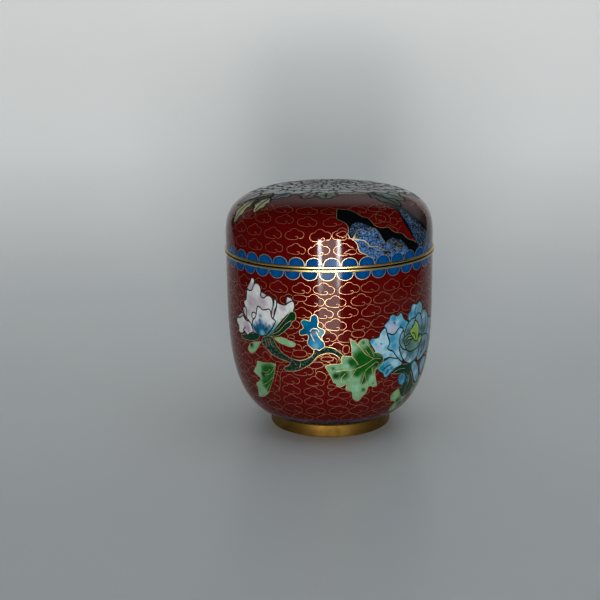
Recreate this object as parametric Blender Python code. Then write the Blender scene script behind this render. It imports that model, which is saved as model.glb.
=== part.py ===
"""A small round cloisonne tea caddy: an enamelled copper vessel and domed lid, both edged in gilt brass.

Metres, +Z up. The origin is at the centre of the foot's underside, and everything is turned about +Z.
The lid rests on the gilt rim of the vessel's mouth and lifts straight off.
"""

import math

import bpy

# Driving dimensions, in metres.
CADDY_HEIGHT = 0.0925  # floor to the top of the lid
SEAM_HEIGHT = 0.0690  # floor to the joint between vessel and lid
WALL_RADIUS = 0.0395  # the enamelled walls at their widest
RIM_RADIUS = 0.0400  # the gilt edges stand a little prouder
RIM_HEIGHT = 0.0009  # each of the two gilt edges
WALL = 0.0018  # copper with enamel on both sides
FOOT_RADIUS = 0.0233
FOOT_HEIGHT = 0.0048  # floor to the underside of the vessel
FOOT_WALL = 0.0019
NECK_HEIGHT = 0.0042  # the upright collar that the lid slips over, above the seam
NECK_WALL = 0.0010
NECK_PLAY = 0.0004  # between the collar and the inside of the lid
GAP = 0.0003  # left between pieces that rest on each other
EDGE = 0.00025  # the softened corners of the gilt rings

# The turned outlines are superellipse quarters: 2 is a true ellipse, and more is fuller at the shoulder.
VESSEL_FULLNESS = 3.9
VESSEL_STRAIGHT = 0.0010  # upright wall below the mouth, before the curve begins
VESSEL_TUCK = 0.0023  # the foot hides the lowest part of the curve, which would end this far above the floor
LID_FULLNESS = 3.4
LID_STRAIGHT = 0.0016
BASE_DISH = 0.0006  # the underside rises this much at its centre

SEGMENTS = 64
VESSEL_POINTS = 14
LID_POINTS = 10
BASE_POINTS = 3
MERGE = 0.00001


def clear_scene():
    for obj in list(bpy.data.objects):
        bpy.data.objects.remove(obj)


def finish(name, color, metallic, roughness):
    """A material of one finish."""
    material = bpy.data.materials.new(name)
    material.use_nodes = True
    shader = material.node_tree.nodes["Principled BSDF"]
    shader.inputs["Base Color"].default_value = (*color, 1.0)
    shader.inputs["Metallic"].default_value = metallic
    shader.inputs["Roughness"].default_value = roughness
    material.diffuse_color = (*color, 1.0)
    return material


def swell(radius, height, fullness, reach, count):
    """Points (radius, rise) of a superellipse quarter, from its widest place up to a share of its height."""
    power = 2 / fullness
    end = math.asin(reach ** (1 / power))
    points = []
    for i in range(count + 1):
        turn = end * (i / count)
        points.append((radius * math.cos(turn) ** power, height * math.sin(turn) ** power))
    return points


def turned(name, profile, material, closed):
    """A piece turned about Z from its (radius, height) profile, which runs down the outer side."""
    count = len(profile)
    edges = [(i, i + 1) for i in range(count - 1)]
    if closed:
        edges.append((count - 1, 0))
    mesh = bpy.data.meshes.new(name)
    mesh.from_pydata([(radius, 0.0, height) for radius, height in profile], edges, [])
    obj = bpy.data.objects.new(name, mesh)
    bpy.context.scene.collection.objects.link(obj)
    turn = obj.modifiers.new("turn", "SCREW")
    turn.steps = SEGMENTS
    turn.render_steps = SEGMENTS
    turn.use_smooth_shade = True
    turn.use_merge_vertices = True
    turn.merge_threshold = MERGE
    mesh.materials.append(material)
    return obj


def inset(outline, depth):
    """An outline that runs down the outer side, moved inwards by a wall's thickness."""
    moved = []
    last = len(outline) - 1
    for i, (radius, height) in enumerate(outline):
        before = outline[max(i - 1, 0)]
        after = outline[min(i + 1, last)]
        across = after[0] - before[0]
        down = after[1] - before[1]
        length = math.hypot(across, down)
        moved.append((max(radius + depth * down / length, 0.0), height - depth * across / length))
    return moved


def down_to(outline, floor):
    """The part of an outline above the floor, ending where it meets it."""
    kept = [point for point in outline if point[1] > floor]
    above = kept[-1]
    below = outline[len(kept)]
    share = (above[1] - floor) / (above[1] - below[1])
    return kept + [(above[0] + (below[0] - above[0]) * share, floor)]


def vessel_profile():
    """Up the inside from the middle of the floor, over the mouth, and down to the middle of the base."""
    mouth = SEAM_HEIGHT - GAP / 2 - RIM_HEIGHT - GAP
    belly = mouth - VESSEL_STRAIGHT
    depth = belly - VESSEL_TUCK
    reach = (belly - FOOT_HEIGHT) / depth
    curve = swell(WALL_RADIUS, depth, VESSEL_FULLNESS, reach, VESSEL_POINTS)
    outside = [(WALL_RADIUS, mouth)] + [(radius, belly - fall) for radius, fall in curve]
    floor = FOOT_HEIGHT + BASE_DISH + WALL
    inside = down_to(inset(outside, WALL), floor)
    base_radius = outside[-1][0]
    base = []
    for i in range(1, BASE_POINTS + 1):
        share = 1 - i / BASE_POINTS
        base.append((base_radius * share, FOOT_HEIGHT + BASE_DISH * (1 - share**2)))
    return [(0.0, floor)] + inside[::-1] + outside + base


def lid_profile():
    """Down the outside from the top of the dome to the lower edge, and up the inside."""
    edge = SEAM_HEIGHT + GAP / 2 + RIM_HEIGHT + GAP
    shoulder = edge + LID_STRAIGHT
    curve = swell(WALL_RADIUS, CADDY_HEIGHT - shoulder, LID_FULLNESS, 1.0, LID_POINTS)
    outside = [(radius, shoulder + rise) for radius, rise in curve[::-1]] + [(WALL_RADIUS, edge)]
    return outside + inset(outside, WALL)[::-1]


def mouth_rim_profile():
    """A flat gilt edge with the upright collar on its inner side."""
    top = SEAM_HEIGHT - GAP / 2
    bottom = top - RIM_HEIGHT
    neck = WALL_RADIUS - WALL - NECK_PLAY
    bore = neck - NECK_WALL
    neck_top = SEAM_HEIGHT + NECK_HEIGHT
    return [
        (bore + EDGE, neck_top),
        (neck - EDGE, neck_top),
        (neck, neck_top - EDGE),
        (neck, top),
        (RIM_RADIUS - EDGE, top),
        (RIM_RADIUS, top - EDGE),
        (RIM_RADIUS, bottom + EDGE),
        (RIM_RADIUS - EDGE, bottom),
        (bore, bottom),
        (bore, neck_top - EDGE),
    ]


def lid_rim_profile():
    bottom = SEAM_HEIGHT + GAP / 2
    top = bottom + RIM_HEIGHT
    return [
        (RIM_RADIUS - EDGE, top),
        (RIM_RADIUS, top - EDGE),
        (RIM_RADIUS, bottom + EDGE),
        (RIM_RADIUS - EDGE, bottom),
        (WALL_RADIUS - WALL, bottom),
        (WALL_RADIUS - WALL, top),
    ]


def foot_profile():
    top = FOOT_HEIGHT - GAP
    return [
        (FOOT_RADIUS, top),
        (FOOT_RADIUS, EDGE),
        (FOOT_RADIUS - EDGE, 0.0),
        (FOOT_RADIUS - FOOT_WALL + EDGE, 0.0),
        (FOOT_RADIUS - FOOT_WALL, EDGE),
        (FOOT_RADIUS - FOOT_WALL, top),
    ]


def main():
    clear_scene()
    red = (0.16, 0.008, 0.005)
    gold = (0.72, 0.44, 0.14)
    turned("vessel_body", vessel_profile(), finish("vessel_enamel", red, 0.0, 0.15), closed=False)
    turned("mouth_rim", mouth_rim_profile(), finish("mouth_rim_gilt", gold, 1.0, 0.32), closed=True)
    turned("foot_ring", foot_profile(), finish("foot_ring_gilt", gold, 1.0, 0.36), closed=True)
    turned("lid_dome", lid_profile(), finish("lid_enamel", red, 0.0, 0.15), closed=False)
    turned("lid_rim", lid_rim_profile(), finish("lid_rim_gilt", gold, 1.0, 0.32), closed=True)


main()
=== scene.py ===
"""The looks of a small cloisonne tea caddy: enamel cells, the wires between them, gilt edges and foot.

Sizes in drawings and outlines are millimetres, because a cloisonne pattern is set out in them. Meshes are
metres. The pattern is drawn on the unrolled wall. A place on it is (x, s): x runs round the front of the
caddy at the wall's own radius, and s runs along the turned wall, away from the seam between vessel and lid.
The flower on top of the lid is drawn as seen from above, with the front at the bottom.
"""

import math

import bpy
import numpy as np
from mathutils import Matrix, Vector
from mathutils.geometry import delaunay_2d_cdt


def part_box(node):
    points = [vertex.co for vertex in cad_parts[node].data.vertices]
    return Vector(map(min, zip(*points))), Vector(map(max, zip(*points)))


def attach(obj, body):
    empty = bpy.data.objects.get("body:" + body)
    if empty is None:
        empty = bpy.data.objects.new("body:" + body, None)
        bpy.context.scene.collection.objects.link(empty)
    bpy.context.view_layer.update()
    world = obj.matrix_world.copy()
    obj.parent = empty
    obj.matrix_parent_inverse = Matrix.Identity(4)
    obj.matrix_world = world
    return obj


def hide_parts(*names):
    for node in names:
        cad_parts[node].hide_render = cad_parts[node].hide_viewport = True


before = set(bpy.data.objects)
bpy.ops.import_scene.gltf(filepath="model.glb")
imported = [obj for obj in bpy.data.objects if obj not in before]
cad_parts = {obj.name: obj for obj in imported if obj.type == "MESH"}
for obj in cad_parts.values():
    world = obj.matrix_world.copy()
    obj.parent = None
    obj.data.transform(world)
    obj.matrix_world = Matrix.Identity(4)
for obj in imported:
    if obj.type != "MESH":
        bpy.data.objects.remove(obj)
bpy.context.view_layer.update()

MM = 0.001
BODY = "root"
PIECES = []

# ---------------------------------------------------------------- sizes

HAIR = 0.001  # keeps the turned rings inside the CAD's
WALL_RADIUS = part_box("vessel_body")[1].x / MM
VESSEL_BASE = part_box("vessel_body")[0].z / MM
VESSEL_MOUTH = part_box("vessel_body")[1].z / MM
LID_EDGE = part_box("lid_dome")[0].z / MM
CADDY_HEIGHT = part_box("lid_dome")[1].z / MM
MOUTH_RIM_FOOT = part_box("mouth_rim")[0].z / MM
COLLAR_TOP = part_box("mouth_rim")[1].z / MM
LID_RIM_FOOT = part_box("lid_rim")[0].z / MM
LID_RIM_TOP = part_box("lid_rim")[1].z / MM
RIM_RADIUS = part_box("lid_rim")[1].x / MM - HAIR
FOOT_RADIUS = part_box("foot_ring")[1].x / MM - HAIR

# The turned outlines are superellipse quarters: 2 is a true ellipse, and more is fuller at the shoulder.
VESSEL_FULLNESS = 3.9
VESSEL_STRAIGHT = 1.0
VESSEL_TUCK = 2.3
LID_FULLNESS = 3.4
LID_STRAIGHT = 1.6
BASE_DISH = 0.6
WALL = 1.8
ENAMEL_AND_COPPER = 1.0  # the share of the wall outside the counter enamel
TOUCH = 0.01  # left between faces that lie on each other
SEAM_GAP = 0.3
COLLAR_PLAY = 0.4
COLLAR_WALL = 1.0
FOOT_WALL = 1.9
FOOT_LAP = 0.04  # how far the foot ring reaches into the dished base
ROUNDING = 0.28  # the softened corners of the gilt rings
CRISP = 0.1  # the corners that meet another piece
FOOT_CORNER = 0.4  # the outer edge that the foot stands on
FLOOR_CORNER = 0.4  # where the lining's wall meets its floor
SLATE_BAND = 60.6  # how far along the wall the slate blue band starts
SLATE_FADE = 0.3
UNDER_SHADE_START = 1.2  # where the painted shade under the wall starts, below the start of the band
UNDER_SHADE_WAVER = 0.9
UNDER_SHADE_FADE = 0.6
SEAM_SHADE_REACH = (0.24, 0.36)  # painted shade, from the middle of the seam: dark up to the first, gone past the second

OUTLINE_WIRE = 0.18
CLOUD_WIRE = 0.125
DARK_WIRE = 0.50
TOP_WIRE = 0.72  # the dark lines of the flower on the lid are bolder
WIRE_STAND = 0.018  # the wires are polished flush, a hair above the enamel
POINT_SPACING = 0.42  # along a drawn wire
GRAIN = 0.66  # between the points that carry the enamel's curve and colour
ROW_STEP = 0.87  # between rows of those points, as a share of it, so their triangles are even
RING_SEGMENTS = 240
EDGE_SEGMENTS = 160
LINING_SEGMENTS = 128
OUTLINE_STEPS = 600
BACK_STEPS = 30  # along the copper's inner side
BOWL_STEPS = 90  # along the vessel's lining
DOME_STEPS = 60  # along the lid's lining
SAME_PLACE = 1e-5  # points nearer than this are one
WELD = 2e-6  # the same, in metres, for turned pieces
SHARP_BEND = 0.6  # edges that bend more than this stay crisp
CLOUD_SIZE = 0.94
CLOUD_CLEARANCE = 0.14  # left bare between the cloud scrolls and the picture


def swell(radius, height, fullness, reach):
    """Points (radius, rise) of a superellipse quarter, from its widest place up to a share of its height."""
    power = 2 / fullness
    end = math.asin(reach ** (1 / power))
    turns = [end * (i / OUTLINE_STEPS) for i in range(OUTLINE_STEPS + 1)]
    return [(radius * math.cos(t) ** power, height * math.sin(t) ** power) for t in turns]


class Outline:
    """A turned outline, read by the distance along it from the seam edge."""

    STEP = 0.25

    def __init__(self, points, lead, outward):
        raw = np.array(points)
        run = np.concatenate([[0.0], np.cumsum(np.hypot(*np.diff(raw, axis=0).T))])
        even = np.linspace(0.0, run[-1], int(run[-1] / self.STEP) + 1)
        self.radius = np.interp(even, run, raw[:, 0])
        self.height = np.interp(even, run, raw[:, 1])
        self.along = even - lead
        self.start = self.along[0]
        self.end = self.along[-1]
        self.outward = outward
        middle = np.maximum((self.radius[1:] + self.radius[:-1]) / 2, TOUCH)
        shrink = np.concatenate([[0.0], np.cumsum(np.diff(even) / middle)])
        self.spread = WALL_RADIUS * np.exp(-shrink)
        if self.radius[-1] < TOUCH:
            self.spread[-1] = 0.0
        across = np.gradient(self.radius)
        up = np.gradient(self.height)
        size = np.hypot(across, up)
        self.lean_out = outward * up / size
        self.lean_up = -outward * across / size

    def read(self, s, *columns):
        return [np.interp(s, self.along, column) for column in columns]

    def at(self, s):
        return self.read(s, self.radius, self.height)

    def normal(self, angle, s):
        out, up = self.read(s, self.lean_out, self.lean_up)
        size = np.hypot(out, up)
        return np.stack([out * np.sin(angle), -out * np.cos(angle), up], -1) / size[..., None]

    def place(self, angle, s):
        radius, height = self.at(s)
        return np.stack([radius * np.sin(angle), -radius * np.cos(angle), height], -1)

    def disc(self, angle, s):
        """The wall spread flat as a disc that keeps every angle, so a triangle on it stays well shaped."""
        spread = np.interp(s, self.along, self.spread)
        return np.stack([spread * np.sin(angle), -spread * np.cos(angle)], -1)

    def undisc(self, flat):
        spread = np.hypot(flat[:, 0], flat[:, 1])
        s = np.interp(spread, self.spread[::-1], self.along[::-1])
        return np.arctan2(flat[:, 0], -flat[:, 1]), s

    def inset(self, depth, count):
        """(radius, height) points of the wall's other side, with the same count of steps."""
        s = np.linspace(self.start, self.end, count + 1)
        radius, height, out, up = self.read(s, self.radius, self.height, self.lean_out, self.lean_up)
        return [(max(r, 0.0), z) for r, z in zip(radius - depth * out, height - depth * up)]


def vessel_outline():
    belly = VESSEL_MOUTH - VESSEL_STRAIGHT
    depth = belly - VESSEL_TUCK
    curve = swell(WALL_RADIUS, depth, VESSEL_FULLNESS, (belly - VESSEL_BASE) / depth)
    top = MOUTH_RIM_FOOT - TOUCH
    points = [(WALL_RADIUS, top)] + [(radius, belly - fall) for radius, fall in curve]
    return Outline(points, lead=top - VESSEL_MOUTH, outward=-1)


def lid_outline():
    shoulder = LID_EDGE + LID_STRAIGHT
    top = CADDY_HEIGHT - WIRE_STAND - TOUCH
    curve = swell(WALL_RADIUS, top - shoulder, LID_FULLNESS, 1.0)
    bottom = LID_RIM_TOP + TOUCH
    points = [(WALL_RADIUS, bottom)] + [(radius, shoulder + rise) for radius, rise in curve]
    return Outline(points, lead=LID_EDGE - bottom, outward=1)


# ---------------------------------------------------------------- colours of the enamels


def tone(red, green, blue):
    """A colour from a display's 0 to 255 steps, as the renderer's light."""
    steps = [value / 255 for value in (red, green, blue)]
    return tuple(v / 12.92 if v <= 0.04045 else ((v + 0.055) / 1.055) ** 2.4 for v in steps)


OXBLOOD = tone(75, 3, 2)
SCARLET = tone(78, 5, 4)
LAPPET_BLUE = tone(0, 54, 104)
LAPPET_LIGHT = tone(3, 64, 116)
NIGHT_BLUE = tone(6, 22, 62)
SLATE = tone(46, 52, 80)
UNDER_SHADE = tone(9, 10, 14)
WHITE = tone(182, 182, 181)
BLUSH = tone(158, 145, 152)
ROSE = tone(158, 126, 142)
ICE = tone(138, 172, 184)
SKY = tone(90, 144, 164)
AZURE = tone(40, 116, 150)
COBALT = tone(2, 80, 116)
TEAL = tone(0, 100, 122)
DEEP_TEAL = tone(0, 58, 78)
LILAC = tone(140, 152, 178)
PERIWINKLE = tone(92, 116, 146)
MINT = tone(104, 140, 104)
PALE_MINT = tone(112, 156, 126)
LEAF = tone(4, 68, 8)
DARK_LEAF = tone(2, 46, 10)
BOTTLE = tone(0, 42, 28)
MOSS = tone(14, 34, 20)
CHARTREUSE = tone(112, 142, 58)
LIME = tone(124, 158, 84)
LAPIS = tone(58, 94, 142)
DEEP_LAPIS = tone(26, 42, 74)
PLUM = tone(44, 28, 30)
STRAW = tone(176, 160, 112)
NAVY = tone(8, 16, 44)
# Painted shade at the foot of the wall, just above the foot ring.
GRANITE = tone(34, 46, 62)
BLACK = tone(4, 5, 6)
# Painted shade: white, rose and blue set darker for the flower and leaves on the lid's top.
TOP_SHADED_WHITE = tone(122, 112, 114)
TOP_SHADED_ROSE = tone(92, 74, 78)
TOP_SHADED_BLUE = tone(92, 108, 118)
SAGE = tone(80, 112, 86)
TURQUOISE = tone(44, 142, 156)
MIST = tone(94, 126, 138)
DUSK = tone(54, 88, 96)
PISTACHIO = tone(154, 162, 130)
DEEP_TURQUOISE = tone(34, 122, 138)
# Painted shade in the seam between lid and vessel, laid on the gilt's colour.
SEAM_SHADE = tone(46, 22, 12)

# ---------------------------------------------------------------- drawing

tip = True  # marks a point of a drawn line that stays sharp


def rounded_run(points, closed):
    """A smooth curve through the points, sampled closely."""
    count = len(points)
    if count == 2 and not closed:
        return straight(*points)
    run = []
    for i in range(count if closed else count - 1):
        near = (i - 1, i, i + 1, i + 2)
        if closed:
            p0, p1, p2, p3 = (points[k % count] for k in near)
        else:
            p0, p1, p2, p3 = (points[min(max(k, 0), count - 1)] for k in near)
        steps = max(1, math.ceil(np.linalg.norm(p2 - p1) / POINT_SPACING))
        for step in range(steps):
            t = step / steps
            run.append(0.5 * (2 * p1 + (p2 - p0) * t + (2 * p0 - 5 * p1 + 4 * p2 - p3) * t**2
                              + (3 * p1 - p0 - 3 * p2 + p3) * t**3))
    if not closed:
        run.append(points[-1])
    return run


def straight(start, end):
    steps = max(1, math.ceil(np.linalg.norm(end - start) / POINT_SPACING))
    return [start + (end - start) * (step / steps) for step in range(steps + 1)]


def drawn(points, closed):
    """A line through given points, smooth except at each point marked as a tip."""
    places = [np.array(point[:2], float) for point in points]
    sharp = [i for i, point in enumerate(points) if len(point) > 2]
    if not sharp:
        return np.array(rounded_run(places, closed))
    if closed:
        first = sharp[0]
        places = places[first:] + places[:first + 1]
        sharp = [i - first for i in sharp] + [len(places) - 1]
    else:
        sharp = sorted({0, *sharp, len(places) - 1})
    line = []
    for start, end in zip(sharp, sharp[1:]):
        line += rounded_run(places[start:end + 1], False)[:-1]
    if not closed:
        line.append(places[-1])
    return np.array(line)


def inside(points, ring):
    """Which of the points lie inside a closed ring."""
    found = np.zeros(len(points), bool)
    low, high = ring.min(0), ring.max(0)
    near = np.flatnonzero(((points >= low) & (points <= high)).all(1))
    x, y = points[near].T
    hit = np.zeros(len(near), bool)
    for (x0, y0), (x1, y1) in zip(ring, np.roll(ring, -1, 0)):
        if y0 == y1:
            continue
        crosses = (y0 > y) != (y1 > y)
        hit ^= crosses & (x < x0 + (y - y0) * (x1 - x0) / (y1 - y0))
    found[near] = hit
    return found


class Cell:
    """One closed cell: its ring on the disc, its ground colour, and touches (x, y, reach, colour) on it."""

    def __init__(self, ring, ground, touches, speckle, on_top, order):
        self.ring = ring
        self.ground = ground
        self.touches = touches
        self.speckle = speckle
        self.on_top = on_top
        self.order = order

    def colours(self, x, y):
        """Colour and amount of speckle at places in the drawing's own plane."""
        mixed = np.tile(np.array(self.ground), (len(x), 1))
        for touch_x, touch_y, reach, colour in self.touches:
            # A touch keeps its full colour up to 0.35 of its reach, and has gone at 1.35.
            fade = np.clip(1.35 - np.hypot(x - touch_x, y - touch_y) / reach, 0.0, 1.0)
            fade = (fade * fade * (3 - 2 * fade))[:, None]
            mixed = mixed * (1 - fade) + np.array(colour) * fade
        return np.column_stack([mixed, np.full(len(x), self.speckle)])


class Drawing:
    """The cells and wires of one wall. Later cells lie over earlier ones and hide their wires."""

    def __init__(self, wall, lappets_start):
        self.wall = wall
        self.lappets_start = lappets_start
        self.cells = []
        self.lines = []

    def to_wall(self, points, on_top):
        x, y = points.T
        if on_top:
            return np.arctan2(x, -y), self.wall.end - np.hypot(x, y)
        return x / WALL_RADIUS, y

    def cell(self, outline, ground, touches=(), metal="gilt", speckle=0.0, on_top=False, smooth=True):
        line = drawn(outline, True) if smooth else np.array(outline, float)
        ring = self.wall.disc(*self.to_wall(line, on_top))
        order = len(self.cells)
        self.cells.append(Cell(ring, ground, touches, speckle, on_top, order))
        if metal:
            self.lines.append((metal, line, True, on_top, order))

    def stroke(self, points, metal="gilt", on_top=False):
        self.lines.append((metal, drawn(points, False), False, on_top, len(self.cells) - 1))

    def runs(self, metal):
        """The wires of one metal as (points, closed) in the unrolled wall, without what later cells hide."""
        found = []
        for kind, line, closed, on_top, order in self.lines:
            if kind != metal:
                continue
            angle, s = self.to_wall(line, on_top)
            flat = self.wall.disc(angle, s)
            hidden = np.zeros(len(flat), bool)
            for cell in self.cells[order + 1:]:
                hidden |= inside(flat, cell.ring)
            places = np.column_stack([angle * WALL_RADIUS, s])
            if not hidden.any():
                found.append((places, closed))
                continue
            if closed:
                first = int(np.flatnonzero(hidden)[0])
                places = np.roll(places, -first, 0)
                hidden = np.roll(hidden, -first)
            run = []
            for place, gone in zip([*places, None], [*hidden, True]):
                if not gone:
                    run.append(place)
                    continue
                if len(run) > 1:
                    found.append((np.array(run), False))
                run = []
        return found


def moved(places, dx, ds):
    return [(x + dx, s + ds, *rest) for x, s, *rest in places]


def paint(d, metal, shapes, dx=0.0, ds=0.0):
    """Lays shapes over each other in order. Each is (ground, outline, touches, and its veins of wire)."""
    for ground, outline, *parts in shapes:
        touches, *veins = parts or [[]]
        d.cell(moved(outline, dx, ds), ground, moved(touches, dx, ds), metal)
        for vein in veins:
            d.stroke(moved(vein, dx, ds), metal)


# ---------------------------------------------------------------- the picture on the vessel

LAPPETS = 39
LAPPET_WIDTH = 5.9
LAPPET_HEIGHT = 2.75
LAPPET_POINTS = 14
NIGHT_HEIGHT = 1.5  # of the dark blue between the feet of the lappets
VESSEL_LAPPETS_START = -0.7  # where the middle of the front lappet stands, to the right of the front
LID_LAPPETS_START = 0.9


def lappet_line(low):
    """A half-round lappet, a little full at its shoulders, from the seam edge over its top and back."""
    turns = np.linspace(0, math.pi, LAPPET_POINTS)
    rise = LAPPET_HEIGHT - low
    return [(-LAPPET_WIDTH / 2 * math.cos(t), low + rise * math.sin(t) ** 0.8) for t in turns]


def lappet_border(d):
    """Lappets all round the seam edge, and the dark blue between their feet."""
    pitch = math.tau * WALL_RADIUS / LAPPETS
    low = d.wall.start + 2 * TOUCH
    places = [d.lappets_start + (k - LAPPETS // 2) * pitch for k in range(LAPPETS)]
    for x in places[:-1]:
        between = [(x, low), (x + pitch, low), (x + pitch, NIGHT_HEIGHT), (x, NIGHT_HEIGHT)]
        d.cell(between, NIGHT_BLUE, metal=None, smooth=False)
    for x in places:
        line = [(x + dx, s) for dx, s in lappet_line(low)]
        d.cell(line, LAPPET_BLUE, [(x, 0.4, 1.6, LAPPET_LIGHT)], metal=None, smooth=False)


def brushed(x, s, lean, spread, reach, colour):
    """Touches that run out from the foot of a petal like strokes of a brush, long and short by turns."""
    touches = []
    for k in range(5):
        turn = math.radians(lean + spread * (k / 4 - 0.5))
        length = reach * (1.0 if k % 2 == 0 else 0.7)
        for share, width in ((0.3, 0.26), (0.6, 0.17), (0.88, 0.1)):
            step = length * share
            touches.append((x + step * math.sin(turn), s - step * math.cos(turn), reach * width, colour))
    return touches


def white_bud(d):
    """A half-open white flower at the end of the branch, on the left."""
    paint(d, "gilt", [
        (BOTTLE, [(-39.8, 27.6, tip), (-36, 26.4), (-33, 25.6), (-30.4, 25.0), (-28.2, 25.6), (-29.4, 27.2),
         (-32, 28.2), (-35.5, 28.6), (-38.6, 28.6)]),
    ])
    paint(d, "aged", [
        (BLUSH, [(-31.6, 4.0, tip), (-30.2, 4.5), (-30.1, 5.6), (-30.8, 7.4), (-32, 9.4), (-34.6, 8.6, tip),
         (-33.6, 7.4), (-32.4, 5.6)],
         [(-31, 5, 1.6, WHITE)]),
        (BLUSH, [(-26.9, 8.6, tip), (-25.4, 9.0), (-24.0, 9.7), (-24.6, 10.9), (-26.7, 11.2)]),
        (BLUSH, [(-15.8, 9.1, tip), (-14.3, 9.5), (-13.4, 10.4), (-14.2, 12), (-16, 12)],
         [(-14.5, 9.8, 1, WHITE)]),
        (BLUSH, [(-37.4, 17.2), (-36.8, 16.1), (-35.2, 15.8), (-34.8, 18), (-35.0, 20.2), (-36.4, 19.0)]),
        (BLUSH, [(-41.4, 20.6, tip), (-39.6, 19.3), (-38, 18.6), (-37.2, 19.6), (-38.4, 21),
         (-40.4, 21.4)]),
        (WHITE, [(-29.6, 5.9), (-28.2, 6.0), (-27.2, 7.0), (-26.9, 8.5), (-27.1, 10.1), (-26.5, 10.8),
         (-25.5, 10.8), (-24.5, 10.0), (-23, 9.7), (-21.8, 10.6), (-21.4, 12), (-21.6, 14), (-22.4, 16),
         (-26, 17.6), (-29, 19.6), (-31.2, 22.4), (-32.2, 22.4, tip), (-33.6, 20.9), (-34.9, 20.1),
         (-35.0, 18.4), (-35.2, 16.4), (-36.2, 15.4), (-36.6, 13.8), (-35.2, 13.0), (-34.8, 11),
         (-34.5, 9.0, tip), (-33, 9.2), (-31.6, 8.8), (-30.8, 7.2)],
         [(-31.5, 13.5, 3.4, BLUSH), (-26.5, 12.6, 2.6, BLUSH), (-33.6, 17.6, 1.4, BLUSH)]),
        (WHITE, [(-20.9, 10.4, tip), (-19.9, 11.2), (-20.0, 13), (-20.8, 15), (-21.4, 17.8), (-22.3, 17.2),
         (-22.0, 15), (-21.3, 13)],
         [(-21.4, 15.6, 1.5, BLUSH)]),
        (WHITE, [(-31.8, 17.5), (-30.4, 17.1), (-29.4, 17.8), (-30.2, 19.3), (-31.8, 19.3)]),
        (WHITE, [(-19.9, 11.6, tip), (-18.2, 12.2), (-16.4, 12.3), (-15.2, 11.4), (-13.6, 10.6),
         (-12.9, 11.3), (-12.8, 13), (-13.6, 14.6), (-15.4, 15.8), (-17, 17.4), (-18.6, 19.2),
         (-20.4, 21.4), (-22.4, 23.8), (-24.6, 25.0, tip), (-25.6, 22), (-24, 19.6), (-21.8, 18.2),
         (-20.6, 15.4), (-20.0, 13.4)],
         brushed(-24.2, 24.2, 42, 44, 7.4, SKY) + brushed(-24.4, 24.6, 40, 40, 4.6, TEAL)
         + [(-17.4, 13.4, 1.6, BLUSH), (-17.6, 18.0, 0.9, PALE_MINT), (-14.6, 15.2, 0.8, PALE_MINT),
         (-20.2, 20.6, 0.9, MINT)]),
        (WHITE, [(-28.6, 14.4), (-27.4, 14.7), (-26.2, 15.4), (-24.6, 15.0), (-23.2, 14.7), (-22.6, 15.6),
         (-22.3, 17.4), (-21.6, 18.1), (-20.6, 18.9), (-21.6, 21), (-23.4, 23.2), (-24.8, 24.9, tip),
         (-27, 25.4), (-29, 25.3), (-31.6, 24.6), (-32.2, 22.2, tip), (-31.5, 20.2), (-30.4, 19.2),
         (-29.6, 17.6), (-29.2, 15.6)],
         brushed(-27.0, 25.4, -4, 104, 8.6, PERIWINKLE) + brushed(-27.2, 25.2, -8, 100, 6.4, DEEP_TEAL)
         + [(-27.4, 22.6, 1.5, COBALT), (-26.8, 24.4, 1.3, SKY)]),
        (WHITE, [(-42.8, 22.2), (-41.6, 21.2), (-40, 20.9), (-38.4, 20.1), (-37.4, 19.6), (-36.6, 20.5),
         (-35.2, 21.1), (-33.4, 21.2), (-32.3, 22.4), (-31.7, 24.6), (-33.4, 25.6), (-35, 26.6),
         (-37, 25.4, tip), (-38.4, 26.6), (-40.2, 27), (-41.4, 26.4), (-41, 24.6), (-42.6, 23.4)],
         [(-35.4, 23.4, 2.4, BLUSH), (-34.4, 24.6, 1.4, ROSE)],
         [(-38.2, 25.6), (-37.0, 24.4), (-36.2, 23.8)]),
    ])
    paint(d, "gilt", [
        (BOTTLE, [(-24.6, 24.9, tip), (-22.5, 24.8), (-20, 24.3), (-18, 23.1), (-15.8, 21.2), (-14.5, 20),
         (-13.8, 18.4), (-12.6, 17.6), (-12.3, 16), (-12.9, 14.7), (-14.4, 14.8), (-15.6, 16.4),
         (-17.6, 18.8), (-19.6, 21.2), (-22.2, 23.4)],
         [(-13.8, 16.2, 1.6, DARK_LEAF), (-17.6, 21, 1.0, DARK_LEAF)],
         [(-22.6, 24.2), (-19.4, 22.6), (-16.4, 19.4), (-14.2, 18.0)]),
    ])


def small_leaves(d):
    paint(d, "gilt", [
        (MINT, [(-21.6, 25.4, tip), (-20, 24.8), (-17.5, 24.8), (-15, 25.6), (-12.6, 26.6, tip),
         (-13.2, 27.6), (-14.8, 27.9), (-17, 27.5), (-19.4, 26.8)],
         [(-14.6, 27, 1.2, PALE_MINT), (-19.6, 25.8, 1, LIME)]),
        (MINT, [(-27.6, 27.8, tip), (-29.2, 30), (-31.4, 32.4), (-34, 33.4), (-35.5, 32.2, tip),
         (-34.6, 30.6), (-33, 29.2), (-30.4, 28.3)],
         [(-33, 29.9, 1.3, BOTTLE), (-34.4, 32.2, 1.0, LIME)],
         [(-28.4, 28.6), (-31, 30.4), (-34.6, 32.0)]),
    ])


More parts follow.
